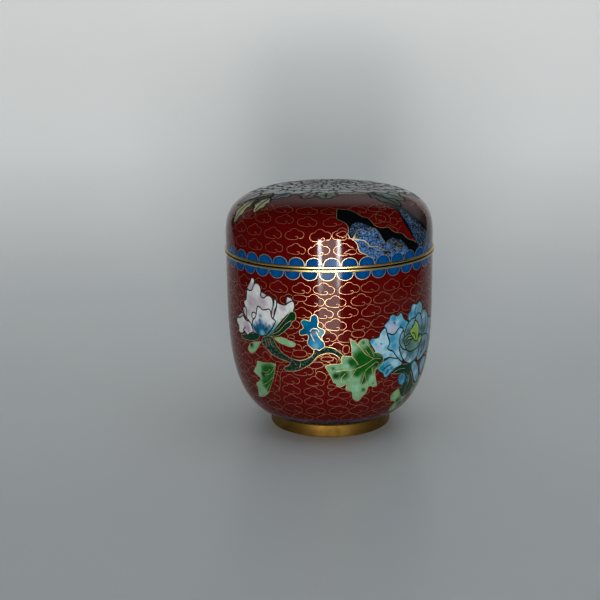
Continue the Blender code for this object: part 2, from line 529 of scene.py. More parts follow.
def branch(d):
    d.cell([(-26.6, 25.8, tip), (-27.2, 27.8), (-25.4, 29.6), (-23, 31.6), (-20.4, 32.8), (-17.6, 33.4),
           (-15.6, 33.9), (-15.2, 34.6), (-16, 35.3), (-17.4, 36), (-17.7, 36.9), (-16.6, 37.5),
           (-14.6, 37.4), (-12.2, 36.9), (-9.8, 35.7), (-7.6, 34.3), (-6, 32.7), (-4.6, 31), (-2.6, 30),
           (-0.4, 29.6), (1.6, 30.1), (3.2, 31.3), (4.6, 33.4, tip), (6.0, 32.4, tip), (4.5, 30.2),
           (3, 28.9), (1.4, 27.8), (-0.8, 27.3), (-2.4, 27.2, tip), (-5.9, 27.6, tip), (-5.9, 29.4),
           (-6.8, 30.8), (-8.6, 32), (-11, 32.8), (-13.4, 32.6), (-15.6, 32.0), (-18, 30.6), (-20, 28.6),
           (-21, 27), (-22, 25.4), (-23.4, 24.7, tip)], MOSS, [(-9, 33.4, 1.6, BOTTLE),
           (-24, 27.4, 1.6, BOTTLE), (0, 28.4, 2, BOTTLE)], speckle=0.6)
    for x, s in ((-25.7, 26.3), (-24.6, 25.8), (-23.5, 25.6)):
        d.stroke([(x, s), (x + 0.5, s + 1.4), (x + 0.9, s + 2.8)])
    d.stroke([(-10.9, 34.0), (-11.4, 35.6)])


def blue_bud(d, dx=0.0, ds=0.0):
    paint(d, "gilt", [
        (COBALT, [(-6.6, 15.8), (-5.4, 15.2), (-4.4, 15.9), (-4.1, 18), (-4.3, 19.5), (-3.4, 20.2),
         (-2.2, 20.7), (-1.8, 21.9), (-2.7, 23.2), (-2.9, 24.2), (-2.2, 25.4), (-1.9, 27.2), (-3, 28),
         (-3.9, 28.6), (-5, 28.1), (-6, 28.3), (-6.9, 27.6), (-8, 26.6), (-8.2, 25.4), (-7.7, 23.8),
         (-8.2, 22.8), (-9.4, 23), (-10.6, 23.2), (-11.2, 22.4), (-10.8, 21.2), (-9.7, 20.6), (-9.9, 19.4),
         (-10.5, 18.2), (-9.6, 17.3), (-8.2, 17.4), (-7.1, 17.7), (-6.9, 16.6)],
         [(-9.8, 21.8, 1.6, DEEP_TEAL), (-5, 26, 2.6, AZURE), (-3.6, 22, 1.6, SKY), (-9, 18.4, 1.4, TEAL),
         (-5.2, 27, 1.2, SKY), (-5.6, 22.4, 1.2, PERIWINKLE)],
         [(-6.9, 22.2), (-6.6, 23.2), (-5.6, 25.3)], [(-4.9, 21.6), (-4, 23.4), (-2.6, 25.2)],
         [(-7.1, 21.6), (-6.4, 20.6), (-5.2, 20.3), (-4.3, 20.8), (-3.9, 21.6)]),
    ], dx, ds)


def half_leaf(d, dx=0.0, ds=0.0):
    paint(d, "gilt", [
        (MINT, [(-21.3, 35.4, tip), (-23.6, 35.3), (-26.6, 35.8), (-30.4, 35.9), (-31.0, 37.4),
         (-33.6, 40.8, tip), (-32, 41.6), (-29.8, 42.6, tip), (-31, 44.2), (-33.4, 45.8), (-33.2, 48.4),
         (-34.8, 52.0, tip), (-31, 51), (-28, 49.2), (-26, 46.8), (-24.6, 44.2), (-23.2, 41.6),
         (-22.2, 38.8)],
         [(-24.2, 38.2, 3.2, LEAF), (-26.8, 38.4, 2.2, LEAF), (-24.4, 42.2, 3.0, LEAF),
         (-27.4, 44.2, 2.8, LEAF), (-26.4, 46.4, 2.2, LEAF), (-28.0, 40.8, 1.6, DARK_LEAF),
         (-32, 40.6, 1.0, PALE_MINT), (-33.4, 50.6, 1.6, PALE_MINT)],
         [(-21.8, 36.4), (-24.2, 39.6), (-27.2, 40.9)], [(-24.4, 37.9), (-25.6, 39.4), (-28.8, 39.6)],
         [(-23.2, 41), (-27, 44.2), (-31.8, 46.4)], [(-25.6, 44.6), (-28.4, 47.6), (-32.8, 50.8)]),
    ], dx, ds)


def broad_leaf(d):
    paint(d, "gilt", [
        (MINT, [(7.3, 24.7, tip), (9, 25.4), (10.3, 26.9, tip), (11.2, 25.5), (12.6, 24.9), (14.1, 25.4),
         (14.8, 27), (15.8, 28.6), (16.6, 30.4), (18.4, 30.9), (20.2, 31.8), (20.9, 33.6), (20.4, 35.4),
         (19, 36.8), (17.6, 37.4, tip), (17.6, 39.2), (18.2, 41.8), (18.9, 44.1, tip), (17.4, 44.4),
         (16.2, 43.7), (15.1, 43.9, tip), (14.8, 45.2), (14.4, 46.6), (13.2, 47.6), (12.5, 48.8),
         (11.4, 49.9), (10.2, 49.5), (9.0, 47.9), (8.5, 45.4), (7.2, 45.1), (6.1, 44.3), (6.2, 42.8),
         (6.6, 41.4, tip), (5.4, 42.5), (4, 43.1), (2.6, 42.9), (2.3, 41.7), (1.2, 41.2), (0.7, 39.6),
         (-0.3, 37.6), (-1.8, 34.9, tip), (-0.6, 34.2), (1.4, 33.9), (3, 33.9), (4.4, 33.7, tip),
         (4.2, 32.3), (4.5, 30.9), (6, 31.0), (8.1, 31.2, tip), (8, 29.2), (7.9, 27.4)],
         [(11.6, 32, 4.0, LEAF), (16.4, 33.2, 4.2, LEAF), (11.6, 35.8, 3.2, LEAF), (14.8, 37.2, 2.8, LEAF),
         (10.2, 38.0, 1.8, LEAF), (13.4, 40.4, 1.9, LEAF), (14.9, 29.2, 2.2, LEAF), (8.0, 33.6, 2.0, LEAF),
         (5.2, 38.2, 2.2, LEAF), (2.2, 38.6, 1.6, DARK_LEAF), (12.4, 26.3, 0.7, LEAF),
         (12.6, 41.8, 1.0, DARK_LEAF), (1.2, 35.6, 0.7, LEAF), (17.0, 42.8, 0.6, LEAF),
         (8.6, 28.2, 1.2, PALE_MINT), (10.4, 44.2, 1.6, PALE_MINT), (6, 35, 1.4, PALE_MINT),
         (16.4, 40.4, 0.9, PALE_MINT), (13.2, 45, 0.9, DARK_LEAF), (19.4, 33.8, 1.8, BOTTLE),
         (18.0, 35.6, 1.2, DARK_LEAF)],
         [(19.6, 33.4), (17, 32.9), (14, 34.4), (11, 35.7), (8.4, 36.4), (5.0, 36.4), (2.2, 36.9)],
         [(16.6, 32.8), (13.4, 30.8), (12.0, 29.0), (10.8, 27.4), (10.3, 26.9)],
         [(16.9, 32.2), (16, 30.2), (14.8, 28.2), (13.8, 27)], [(15.0, 31.4), (13.2, 29.2)],
         [(18.8, 34.8), (17.6, 34.4), (15.6, 35.6), (13.8, 37), (13.0, 38.6), (12.6, 40.6), (12.0, 43),
         (11.2, 46.4)], [(18.9, 35.2), (18.3, 36.4), (17.6, 37.4)], [(9.8, 36.3), (8.4, 38.6), (6.6, 41.4)],
         [(10.6, 34.6), (9.4, 32.8), (8.1, 31.2)], [(13.3, 38.1), (13.8, 40.4), (15.1, 43.9)],
         [(5.6, 37.8), (4.2, 39.6), (4.4, 41.4)], [(16.2, 36.4), (16.5, 39), (17.4, 41.6)]),
    ])


def peony(d):
    """The large open flower on the right, with its stem and leaves below."""
    paint(d, "gilt", [
        (MINT, [(27.4, 50.6), (28.4, 48.8), (30.2, 47.9), (31.6, 48.4), (33.4, 50.4), (36, 52.2),
         (38.6, 53), (37.6, 55.2, tip), (39.6, 56.6), (37.2, 58.6), (34, 59.6), (31.4, 59.4), (30.4, 57.2),
         (31.6, 55, tip), (30.6, 53.4), (28.4, 52.8)],
         [(30.4, 50.6, 1.8, LIME), (33.2, 53.6, 1.8, LEAF), (33.6, 57.6, 1.4, LIME),
         (36.0, 56.4, 2.0, LEAF)],
         [(33.4, 51.2), (33.8, 54.4), (32.6, 58)], [(33.8, 54.4), (35.6, 55), (37.6, 55.2)]),
        (MINT, [(43.2, 47.6, tip), (46.4, 46.8), (50, 47.6), (53.2, 50, tip), (50.6, 50.8),
         (51.8, 53.4, tip), (48.6, 53.2), (46.8, 55.4, tip), (44.2, 53.6), (42.2, 50.4)],
         [(45, 49.6, 2.4, LEAF), (48.2, 50.4, 1.6, LEAF), (50.6, 49.2, 1.0, PALE_MINT)],
         [(43.2, 48.6), (46.6, 49.8), (50.6, 50.8)], [(45, 49.2), (46, 52), (46.8, 55.0)]),
        (BOTTLE, [(33.4, 41.2), (36, 41.6), (38.4, 44.2), (41.2, 48), (43.4, 49.8), (41.2, 51.4),
         (38, 52.6), (35, 52.6), (32.6, 50.4), (31.2, 48.2, tip), (33.2, 46.4), (33.8, 44)],
         [(36.6, 49.4, 2.4, DARK_LEAF), (35.6, 45, 1.2, TEAL)],
         [(35.4, 42.4), (36.6, 46), (35.4, 49), (36.4, 52.2)]),
        (BOTTLE, [(24.4, 40.1, tip), (26.8, 38.4), (30, 37.6), (33, 38), (36.4, 38.6), (37.2, 41),
         (35.4, 43.6), (33.6, 42), (31.6, 40.9), (29, 41.0), (27, 40.7)],
         [(30.6, 39.2, 1.6, DARK_LEAF)],
         [(26.2, 40), (29, 39.2), (32.2, 39.6)]),
    ])
    paint(d, "aged", [
        (AZURE, [(29.1, 42.4), (30.2, 41.1), (32, 41.2), (33.4, 42.6), (33.8, 44.6), (32.6, 46.5),
         (30.8, 46.2), (29.6, 44.7)],
         [(31, 43, 1.5, DUSK), (32.6, 45.4, 1.0, SKY)]),
        (SKY, [(36.4, 39.0), (38.6, 38), (40.8, 39.8), (42.6, 41.8), (44.4, 44.4), (45.2, 47), (44, 48.4),
         (42, 47.6), (40, 45.6), (38.2, 43), (36.8, 41)],
         [(39.4, 40.8, 1.8, MIST), (43.2, 46, 2.0, MIST), (41.2, 43.6, 1.2, ICE)]),
        (MIST, [(43.4, 40.4), (46, 38.6), (49.6, 38.8), (51.6, 41.2), (51.2, 44.4), (48.6, 46.2),
         (46.2, 45.2), (44.4, 43)],
         [(47.6, 41.4, 2.2, SKY), (50.6, 43.6, 1.6, DUSK)]),
        (SKY, [(47.6, 24.4), (50.4, 23.4), (53, 24.8), (54.2, 27.6), (53.4, 30.4), (54.6, 32.8),
         (53.8, 35.8), (51.4, 37.6), (48.4, 36.4), (47, 32), (46.6, 28)],
         [(50.6, 27, 2.4, MIST), (51.4, 33.6, 2.4, DUSK), (53.4, 25.8, 1.2, TEAL)]),
        (SKY, [(18.6, 37.4), (19.6, 35.6), (21.4, 34.4), (23.6, 33.6), (26, 33.8), (28.4, 34.8), (30, 36.4),
         (30.2, 37.6), (28.2, 38.1), (26.4, 38.5), (24.8, 39.8), (23, 41.3), (21.6, 40.9), (21, 39.5),
         (19.6, 38.6)],
         [(20.6, 37, 1.8, TEAL), (22.6, 39.2, 1.6, AZURE), (22.4, 36, 1.4, AZURE), (26.4, 36.2, 2.0, ICE),
         (25, 38, 1.0, TEAL)],
         [(20.8, 38.4), (22.4, 37.0), (24.6, 36.4)], [(22.6, 39.8), (23.6, 38.2)]),
        (SKY, [(32.4, 18.6), (33.6, 17.5), (34.4, 15.6), (36, 15.1), (37.6, 15.7), (39.4, 14.9),
         (41.2, 16.0), (42, 17.8), (41.8, 20.4), (38.4, 21.6), (34, 22), (32.4, 20.6)],
         [(34, 18.8, 1.4, AZURE), (36.2, 16.6, 1.0, ICE), (39.6, 17.6, 1.6, MIST),
         (37.4, 20.4, 1.8, AZURE)],
         [(36.6, 19.8), (36.4, 18.2), (37.2, 16.6)]),
        (MIST, [(41.0, 20.0), (43.4, 18.9), (46, 20.0), (48.2, 22.4), (48.8, 25.2), (47.8, 28.2),
         (45.4, 29.6), (42.8, 29.6), (40.6, 26)],
         [(44, 26.8, 2.0, DUSK), (46.4, 23.2, 2, SKY), (43.4, 21.4, 1.2, ICE)],
         [(44, 28.2), (45.6, 25.6), (45.8, 22.8)]),
        (MIST, [(41.6, 29.6), (44.2, 29.0), (47.2, 29.4), (49.8, 31), (50.6, 33.6), (49.2, 36.2),
         (46.2, 37.6), (43, 38.4), (40.2, 38.2), (39.4, 34)],
         [(45.6, 33, 1.8, DUSK), (48.6, 33.6, 1.6, MIST), (42.6, 36.6, 1.4, SKY), (41.6, 32.4, 1.6, DUSK)],
         [(43.4, 36), (45.8, 34.4), (46.6, 32)], [(42.2, 37.4), (43.2, 35), (43.4, 32.4), (42.6, 30.4)]),
        (SKY, [(20.6, 20.8), (21.4, 20), (22.7, 19), (23.2, 17.7), (24.4, 17.1), (25.6, 17.6), (26.8, 18.1),
         (28, 17.2), (29, 17.6), (29.7, 19.2), (30.9, 20.4), (32.6, 21.6), (32.6, 24.6), (29, 26.4),
         (25, 26), (22.2, 24.4), (21.2, 22.4)],
         [(23.8, 22.2, 2.6, LILAC), (26.2, 23.4, 1.6, LILAC), (24.4, 22.9, 0.9, BLUSH),
         (25.0, 18.8, 1.3, AZURE), (29.8, 21.8, 1.6, AZURE), (26.8, 20.2, 0.9, ICE),
         (25.3, 20.6, 0.45, DEEP_TEAL), (28.2, 22.0, 0.5, DEEP_TEAL)],
         [(25.2, 20.2), (25.5, 20.9)]),
        (ICE, [(14.6, 26.2, tip), (15.6, 25.0), (17.2, 25.1), (18.5, 24.8), (19.0, 23.4), (20.2, 22.2),
         (21.3, 21.8), (22.1, 24.2), (22.8, 26.2), (23.4, 28), (22.6, 29.7), (23.5, 30.7), (25.2, 31.5),
         (26.6, 33.2), (27.4, 34.6), (25, 33.9), (23, 33.4), (21, 33.7), (20.4, 32.3), (19, 31.2),
         (17.2, 31.1), (16.7, 29.6), (15.4, 27.6)],
         [(15.6, 26.0, 1.3, AZURE), (17.2, 27.6, 0.9, SKY), (20.6, 23.6, 1.1, SKY),
         (18.6, 29.0, 1.5, LILAC), (21.8, 29.6, 1.2, SKY), (21.2, 32.4, 1.1, SKY), (20.4, 25.6, 0.8, LILAC),
         (24.2, 32.6, 1.2, SKY)],
         [(19.3, 27.4), (19.8, 27.8)]),
        (SKY, [(22.0, 24.2), (23, 24.3), (24.6, 24.9), (26, 24.4), (27.2, 23.1), (28.6, 22.7), (29.8, 23.8),
         (30.4, 27), (29.4, 31), (30.8, 35.4), (29.6, 36.2, tip), (27.6, 34.4), (26, 32.6), (24.8, 31.1),
         (23.2, 30.5), (22.5, 29.6), (23.3, 28), (22.9, 26)],
         [(24.6, 26.4, 1.7, AZURE), (25.4, 29.4, 1.3, AZURE), (28.2, 24.4, 1.0, ICE),
         (27.6, 32.4, 1.5, ICE), (28.8, 28.4, 1.4, MIST)]),
        (MIST, [(28.0, 30.6), (29.4, 33.8), (31, 36), (33, 37.5), (35.2, 38.2), (37.6, 37.8), (39.8, 36.4),
         (40.6, 34), (38, 31), (33, 30), (29.4, 30)],
         brushed(34.6, 31.6, 180, 60, 5.4, DUSK) + [(31, 34.4, 1.2, ICE), (34.8, 37.4, 1.0, ICE),
         (38.6, 36.0, 1.2, SKY)]),
        (MIST, [(29.4, 24.4, tip), (31.4, 25.6), (31.6, 30), (33.4, 32.6, tip), (30.4, 31.6), (28.5, 29.6),
         (28.1, 27.4), (28.6, 25.6)],
         [(30.2, 28, 1.6, DUSK), (29.0, 26, 0.8, SKY)]),
        (MIST, [(37.0, 20.9), (38.6, 19.5), (40.3, 19.9), (41.5, 21.6), (42.2, 23.8), (42.4, 26.2),
         (41.2, 28.4), (39, 26), (37.4, 23)],
         [(39.4, 21.2, 1.2, SKY), (41.4, 25.8, 1.4, DUSK)]),
        (MIST, [(30.6, 26.6), (30.9, 24.4), (32, 22.4), (33.8, 21.1), (35.6, 20.6), (37, 21.0),
         (36.4, 22.8), (34.8, 24), (33.6, 26.4)],
         [(34.4, 22.0, 1.0, SKY), (32.4, 25.0, 1.4, DUSK)]),
        (SAGE, [(31.8, 31.6), (31.6, 29), (34.6, 27.6), (38.6, 29.4), (40.6, 28.2), (42.1, 28.6),
         (41.8, 31), (39.8, 32.8), (37, 33.4), (34, 33.2)],
         [(34, 31, 1.6, DUSK), (38, 31.8, 1.2, MIST), (40.8, 30, 1.2, LIME)]),
        (SAGE, [(30.5, 27.2), (32, 26.3), (34.2, 26.2), (36, 28), (34.2, 29.2), (32.6, 30.4), (31.2, 30.4),
         (30.5, 28.9)],
         [(32, 28.8, 1.0, DUSK), (33.8, 27.6, 0.8, PALE_MINT)],
         [(31, 28.6), (32.6, 27.4), (34.6, 27.6)], [(31.4, 29.8), (33, 28.6), (34.8, 28.6)]),
        (LIME, [(36.7, 21.9), (38.2, 22.6), (39.4, 24.2), (39.9, 26.2), (39.6, 28.2), (38.8, 30),
         (37.2, 29.7), (35.6, 28.1), (34.2, 26.7), (33.6, 25.2), (35.0, 24.2), (36, 23.2)],
         [(36.6, 25.8, 2.0, CHARTREUSE), (38.2, 28, 1.4, CHARTREUSE), (34.8, 25.6, 0.8, LIME),
         (36.9, 23, 0.9, MINT)],
         [(35.0, 26.2), (36.6, 26.8), (37.8, 29)]),
    ])


def fillers(d, places):
    """Closed loops of wire that fill the ground near a motif, each (x, s, width, height, turn in degrees)."""
    for x, s, width, height, turn in places:
        sine, cosine = math.sin(math.radians(turn)), math.cos(math.radians(turn))
        ring = []
        for k in range(10):
            t = math.tau * k / 10
            u, v = width / 2 * math.cos(t), height / 2 * math.sin(t) * (1 + 0.12 * math.cos(2 * t))
            ring.append((x + u * cosine - v * sine, s + u * sine + v * cosine))
        d.cell(ring, OXBLOOD, metal="cloud")


def front_fillers(d):
    fillers(d, [
        (-10.8, 9.4, 5.2, 2.6, 0), (10.4, 22.8, 5.0, 3.0, 4), (-14.2, 24.0, 2.4, 1.5, 4),
        (-11.2, 30.2, 5.6, 3.0, -4), (-5.0, 34.4, 5.2, 2.8, -8), (-3.4, 38.6, 4.2, 3.6, 30),
        (0.5, 43.0, 3.2, 1.9, 4), (5.6, 46.8, 5.2, 3.0, 4), (24.2, 44.0, 4.8, 2.4, 4),
        (-25.4, 33.0, 3.6, 3.4, 30), (26.8, 53.2, 3.2, 1.8, 24), (-44.6, 31.0, 4.2, 2.8, 0),
        (5.9, 28.4, 2.4, 3.6, 10), (-1.0, 31.9, 4.6, 1.9, 0),
    ])
    d.stroke([(-17.9, 36.6), (-18.8, 38), (-19.8, 39.8), (-20.2, 42.6), (-20.9, 45.4), (-22.8, 46.8),
              (-24.4, 48.6)], "cloud")
    d.stroke([(-18.6, 35.6), (-19.6, 35.5), (-20.2, 36.4), (-20.9, 38.6), (-22.4, 42.8)], "cloud")


def bloom(d, x, s, rings, turn):
    """A generic open flower of scalloped petals. Each ring is (petals, inner, outer, ground, heart)."""
    overlap = 1.16
    for petals, inner, outer, ground, heart in rings:
        scallops = ((-0.5, inner), (-0.95, 0.62), (-1.0, 0.84), (-0.62, 1.0), (-0.28, 0.93), (0.0, 1.03),
                    (0.3, 0.93), (0.64, 1.0), (1.0, 0.82), (0.95, 0.6), (0.5, inner))
        for k in range(petals):
            lean = turn + math.tau * k / petals
            half = math.pi / petals * overlap
            ring = []
            for share, reach in scallops:
                t = lean + share * half
                ring.append((x + outer * reach * math.cos(t), s + outer * reach * math.sin(t)))
            across, along = outer * 0.45 * math.cos(lean), outer * 0.45 * math.sin(lean)
            d.cell(ring, ground, [(x + across, s + along, outer * 0.42, heart)], metal="aged")


def back_spray(d):
    """The hidden side is plainer: one flower, a branch and leaves of the same kinds."""
    left = -math.pi * WALL_RADIUS * 0.86  # where the spray starts, near the middle of the back
    stem = [(4, 39, tip), (10, 41.5), (17, 40.5), (24, 36.5), (26, 37.2, tip), (20, 41.6), (13, 43.8),
            (5, 42.4)]
    d.cell(moved(stem, left, 0), MOSS, speckle=1.0)
    half_leaf(d, left + 45, 4.0)
    blue_bud(d, left + 31.5, 9.0)
    x, s, eye = left + 7, 27, 1.7
    bloom(d, x, s, [(7, 0.2, 11.5, WHITE, LILAC), (5, 0.2, 7.0, BLUSH, ROSE)], 0.3)
    turns = np.linspace(0, math.tau, 9)[:-1]
    d.cell([(x + eye * math.cos(t), s + eye * math.sin(t)) for t in turns], LIME, [(x, s, 1.0, CHARTREUSE)],
           metal="aged")
    fillers(d, moved([(18, 33, 4.6, 2.6, 0), (12, 47.5, 5, 2.8, 0), (20, 14, 4.4, 2.6, 0)], left, 0))


def vessel_drawing():
    d = Drawing(vessel_outline(), VESSEL_LAPPETS_START)
    for motif in (lappet_border, front_fillers, small_leaves, branch, blue_bud, white_bud, half_leaf, peony,
                  broad_leaf, back_spray):
        motif(d)
    return d


# ---------------------------------------------------------------- the picture on the lid


def rock(d):
    """The black rock with speckled lapis faces, on the right of the lid."""
    faces = (  # metal of the wire round it, speckle, ground, outline and touches
        ("gilt", 0.0, BLACK, [(3.6, 22.4, tip), (3.3, 20), (3.1, 17.4), (4.2, 16.4), (6, 15.4), (7, 14),
         (7.1, 12.4), (6.8, 11), (7.6, 9.6, tip), (9, 8.7), (9.9, 7.6), (10.4, 6), (10.9, 4.7), (12.4, 3.8),
         (14, 3.0), (15.4, 1.4, tip), (22, 1.4), (30, 1.4), (38.6, 1.4, tip), (37.4, 4.2), (35.4, 5.8),
         (33.4, 6.4, tip), (31, 7.6), (29.6, 9), (28, 9.8), (26, 10.2), (24.4, 11.2), (23.4, 12.3),
         (21.4, 12.4), (19.4, 12.7), (17.6, 13.7), (16.6, 15.4), (15.4, 16.9), (13.6, 17.5), (11.8, 19.2),
         (9.6, 21.2, tip), (6.6, 21.8)]),
        (None, 0.0, PLUM, [(30, 24.4), (35, 23), (40, 20.4), (44.6, 16.8), (48.4, 12.6), (51.8, 7.6),
         (56, 1.4, tip), (46, 1.4, tip), (40, 10), (34, 18)]),
        (None, 0.0, BLACK, [(27.2, 22.6, tip), (29.2, 21.6), (30.4, 19.6), (31.2, 17.4), (31.4, 15.4),
         (31.2, 13.4), (31.8, 11.4), (33.0, 9.4), (34.2, 7.6, tip), (36.4, 5.6), (38.9, 1.4, tip),
         (46, 1.4), (52.6, 1.4, tip), (49.2, 5.2), (45.8, 8.6), (42.8, 11.2), (40.2, 13.6), (38, 16.2),
         (35.4, 19.6), (32.4, 22.8), (29, 24.4)]),
        ("gilt", 1.0, LAPIS, [(7.8, 9.5, tip), (9.2, 9.1), (11, 8.9), (12.8, 8.4), (14, 7.2), (15.3, 6.1),
         (17, 6.1), (18.9, 5.4), (20.6, 4.4), (23, 4.2), (26, 4.6), (28, 3.6), (31, 1.4, tip), (22, 1.4),
         (15.5, 1.4, tip), (14, 3.1), (12.4, 3.9), (11, 4.7), (10.5, 6), (10, 7.6), (9.1, 8.6)],
         [(22, 3.4, 1.6, NAVY)]),
        (None, 0.8, DEEP_LAPIS, [(7.8, 9.7, tip), (7.4, 12), (8.2, 14), (10, 15.2), (12, 15.2), (14, 14.2),
         (16.2, 13.2), (17.4, 12.4, tip), (14.6, 10.6), (11, 9.2)]),
        ("gilt", 1.0, LAPIS, [(8.6, 9.6, tip), (10.2, 11.9), (11.9, 12.8), (13.4, 11.9), (14.6, 11.4, tip),
         (16, 12.2), (17.3, 12.7, tip), (18.5, 11.3), (19.5, 9.5), (20.3, 8), (21.3, 6.7, tip), (20.6, 4.6),
         (18.9, 5.5), (17, 6.2), (15.3, 6.2), (14.1, 7.3), (12.9, 8.5), (11, 9.0)],
         [(17.8, 9.2, 1.2, NAVY), (10.4, 11.4, 1.2, NAVY), (19.8, 6.2, 1.0, NAVY)]),
        (None, 0.5, GRANITE, [(20.8, 6.4), (22, 7.7), (24, 8.4), (26, 7.9), (28, 7.3), (29.8, 5.8),
         (31.4, 4.2), (33.6, 1.4, tip), (30, 1.4), (27.8, 3.8), (25.8, 4.8), (23, 4.4), (21, 4.7)],
         [(26.6, 6.6, 1.6, NAVY), (22.4, 5.4, 1.4, LAPIS), (30, 2.8, 1.6, LAPIS)]),
        (None, 1.0, DEEP_LAPIS, [(33.8, 18.4, tip), (35.4, 16.4), (37.2, 14.2), (39.4, 12.2), (42, 10),
         (44.8, 7.8), (48, 5), (51.4, 1.4, tip), (44, 1.4), (38.6, 1.4, tip), (37.8, 4), (36, 6.4),
         (34.4, 8.8), (33.4, 11.4), (32.4, 14), (32, 16.4), (32.8, 18.4)],
         [(42.4, 9.6, 2.2, NAVY), (46.6, 5, 2.0, GRANITE), (35.2, 13.8, 1.2, LAPIS)]),
    )
    for metal, speckle, ground, outline, *touches in faces:
        d.cell(outline, ground, *touches, metal=metal, speckle=speckle)
    for crack in (
        [(9.2, 10.6), (9.6, 10.1), (8.4, 9.6)], [(21.6, 7.0), (22.8, 6.2), (22.4, 5.0)],
        [(23.4, 7.9), (24.6, 6.7), (26.2, 6.8), (27.6, 5.6), (28.8, 6.0)],
        [(25.6, 5.2), (26.8, 4.6), (28.2, 4.4)], [(29.2, 5.2), (30.2, 4.0), (30.0, 2.8)],
        [(16.4, 5.8), (18.2, 4.6), (20.2, 4.2)],
    ):
        d.stroke(crack)
    d.cell([(30.6, 13.6), (31.6, 11.8), (33.1, 9.6), (34.0, 7.4), (33.4, 6.6, tip), (31.6, 7.9), (30.2, 9.6),
            (29.4, 11.6)], SCARLET, metal=None)


def lid_fillers(d):
    paint(d, "cloud", [
        (OXBLOOD, [(2.5, 11.2, tip), (4, 12.0), (5.2, 12.3), (6.2, 11.8), (6.2, 10.8), (5.2, 10.1),
         (4, 10.3)]),
        (OXBLOOD, [(5.1, 4.3, tip), (6.6, 5.3), (8.2, 5.8), (9.5, 5.3), (9.7, 4.4), (8.8, 3.9), (7, 4.1)]),
    ])
    fillers(d, [(26.4, 14.2, 3.4, 3.2, 0), (25.4, 22.4, 4.4, 3.0, 10)])
    d.stroke([(18.8, 15.2), (19.4, 17.4), (21.2, 19), (23.4, 18.8), (25, 17.4), (25.4, 15.4), (24.2, 14.2),
              (22.4, 14.4), (20.4, 14.8), (19.8, 15.8)], "cloud")


def seen(reach, angle):
    """A place seen from above, by its distance from the middle and its angle from the front to the right."""
    return reach * math.sin(angle), -reach * math.cos(angle)


def petal(angle, inner, outer, spread, lobes):
    """A fan-shaped petal seen from above, with a lobed outer edge."""
    edge = [(0.3, 0.0), (0.06, 0.45), (0.0, 0.72)]
    steps = 4 * lobes
    for k in range(steps + 1):
        share = k / steps
        bulge = abs(math.sin(math.pi * lobes * share)) ** 0.6
        edge.append((0.03 + 0.94 * share, 0.86 + 0.06 * math.sin(math.pi * share) + 0.12 * bulge))
    edge += [(1.0, 0.72), (0.94, 0.45), (0.7, 0.0)]
    low, high = angle - spread / 2, angle + spread / 2
    return [seen(inner + (outer - inner) * reach, low + (high - low) * share) for share, reach in edge]


def leaf(angle, inner, outer, spread, bend):
    """A pointed leaf seen from above, with three notches on each side."""
    edge = ((0.0, 0.12), (0.22, 0.7), (0.36, 1.0), (0.42, 0.72), (0.6, 0.9), (0.7, 0.78), (0.76, 0.5),
            (0.9, 0.36), (1.0, 0.0))
    sides = [[seen(inner + (outer - inner) * share, angle + bend * share + side * width * spread / 2)
              for share, width in edge] for side in (-1, 1)]
    return sides[0] + sides[1][-2::-1]


def crown_leaves(d):
    leaves = (  # direction from the front, inner and outer reach, spread in degrees, bend, ground, heart
        (-57, 20, 34, 14, 0.0, MOSS, BOTTLE), (-53.5, 26.5, 36.6, 12, 0.05, STRAW, PISTACHIO),
        (-65, 30, 42.6, 11, 0.0, PISTACHIO, STRAW), (-50, 16, 27.5, 24, 0.0, TOP_SHADED_BLUE, DUSK),
        (-22, 14, 23.6, 26, 0.0, TOP_SHADED_ROSE, TOP_SHADED_WHITE), (-3, 12, 23, 30, 0.0, SAGE, LEAF),
        (-82, 18, 36, 20, 0.1, TOP_SHADED_WHITE, TOP_SHADED_ROSE), (47, 20, 34, 20, 0.08, MOSS, BOTTLE),
        (62, 18, 32, 24, 0.0, SAGE, TOP_SHADED_BLUE), (84, 20, 35, 20, 0.1, TOP_SHADED_BLUE, SAGE),
        (112, 22, 38, 20, -0.1, MINT, LEAF), (152, 20, 36, 20, 0.1, MINT, TEAL),
        (-128, 18, 36, 22, 0, MINT, LEAF), (-162, 20, 35, 18, 0, MINT, LEAF),
    )
    for degrees, inner, outer, spread, bend, edge, heart in leaves:
        a = math.radians(degrees)
        middle = (inner + outer) / 2
        touch = (*seen(middle, a + bend / 2), (outer - inner) * 0.2, heart)
        d.cell(leaf(a, inner, outer, math.radians(spread), bend), edge, [touch], "aged", on_top=True)
        vein = [seen(r, a + bend * q) for q, r in ((0.1, inner + 1), (0.5, middle), (0.92, outer - 1.2))]
        d.stroke(vein, "aged", on_top=True)


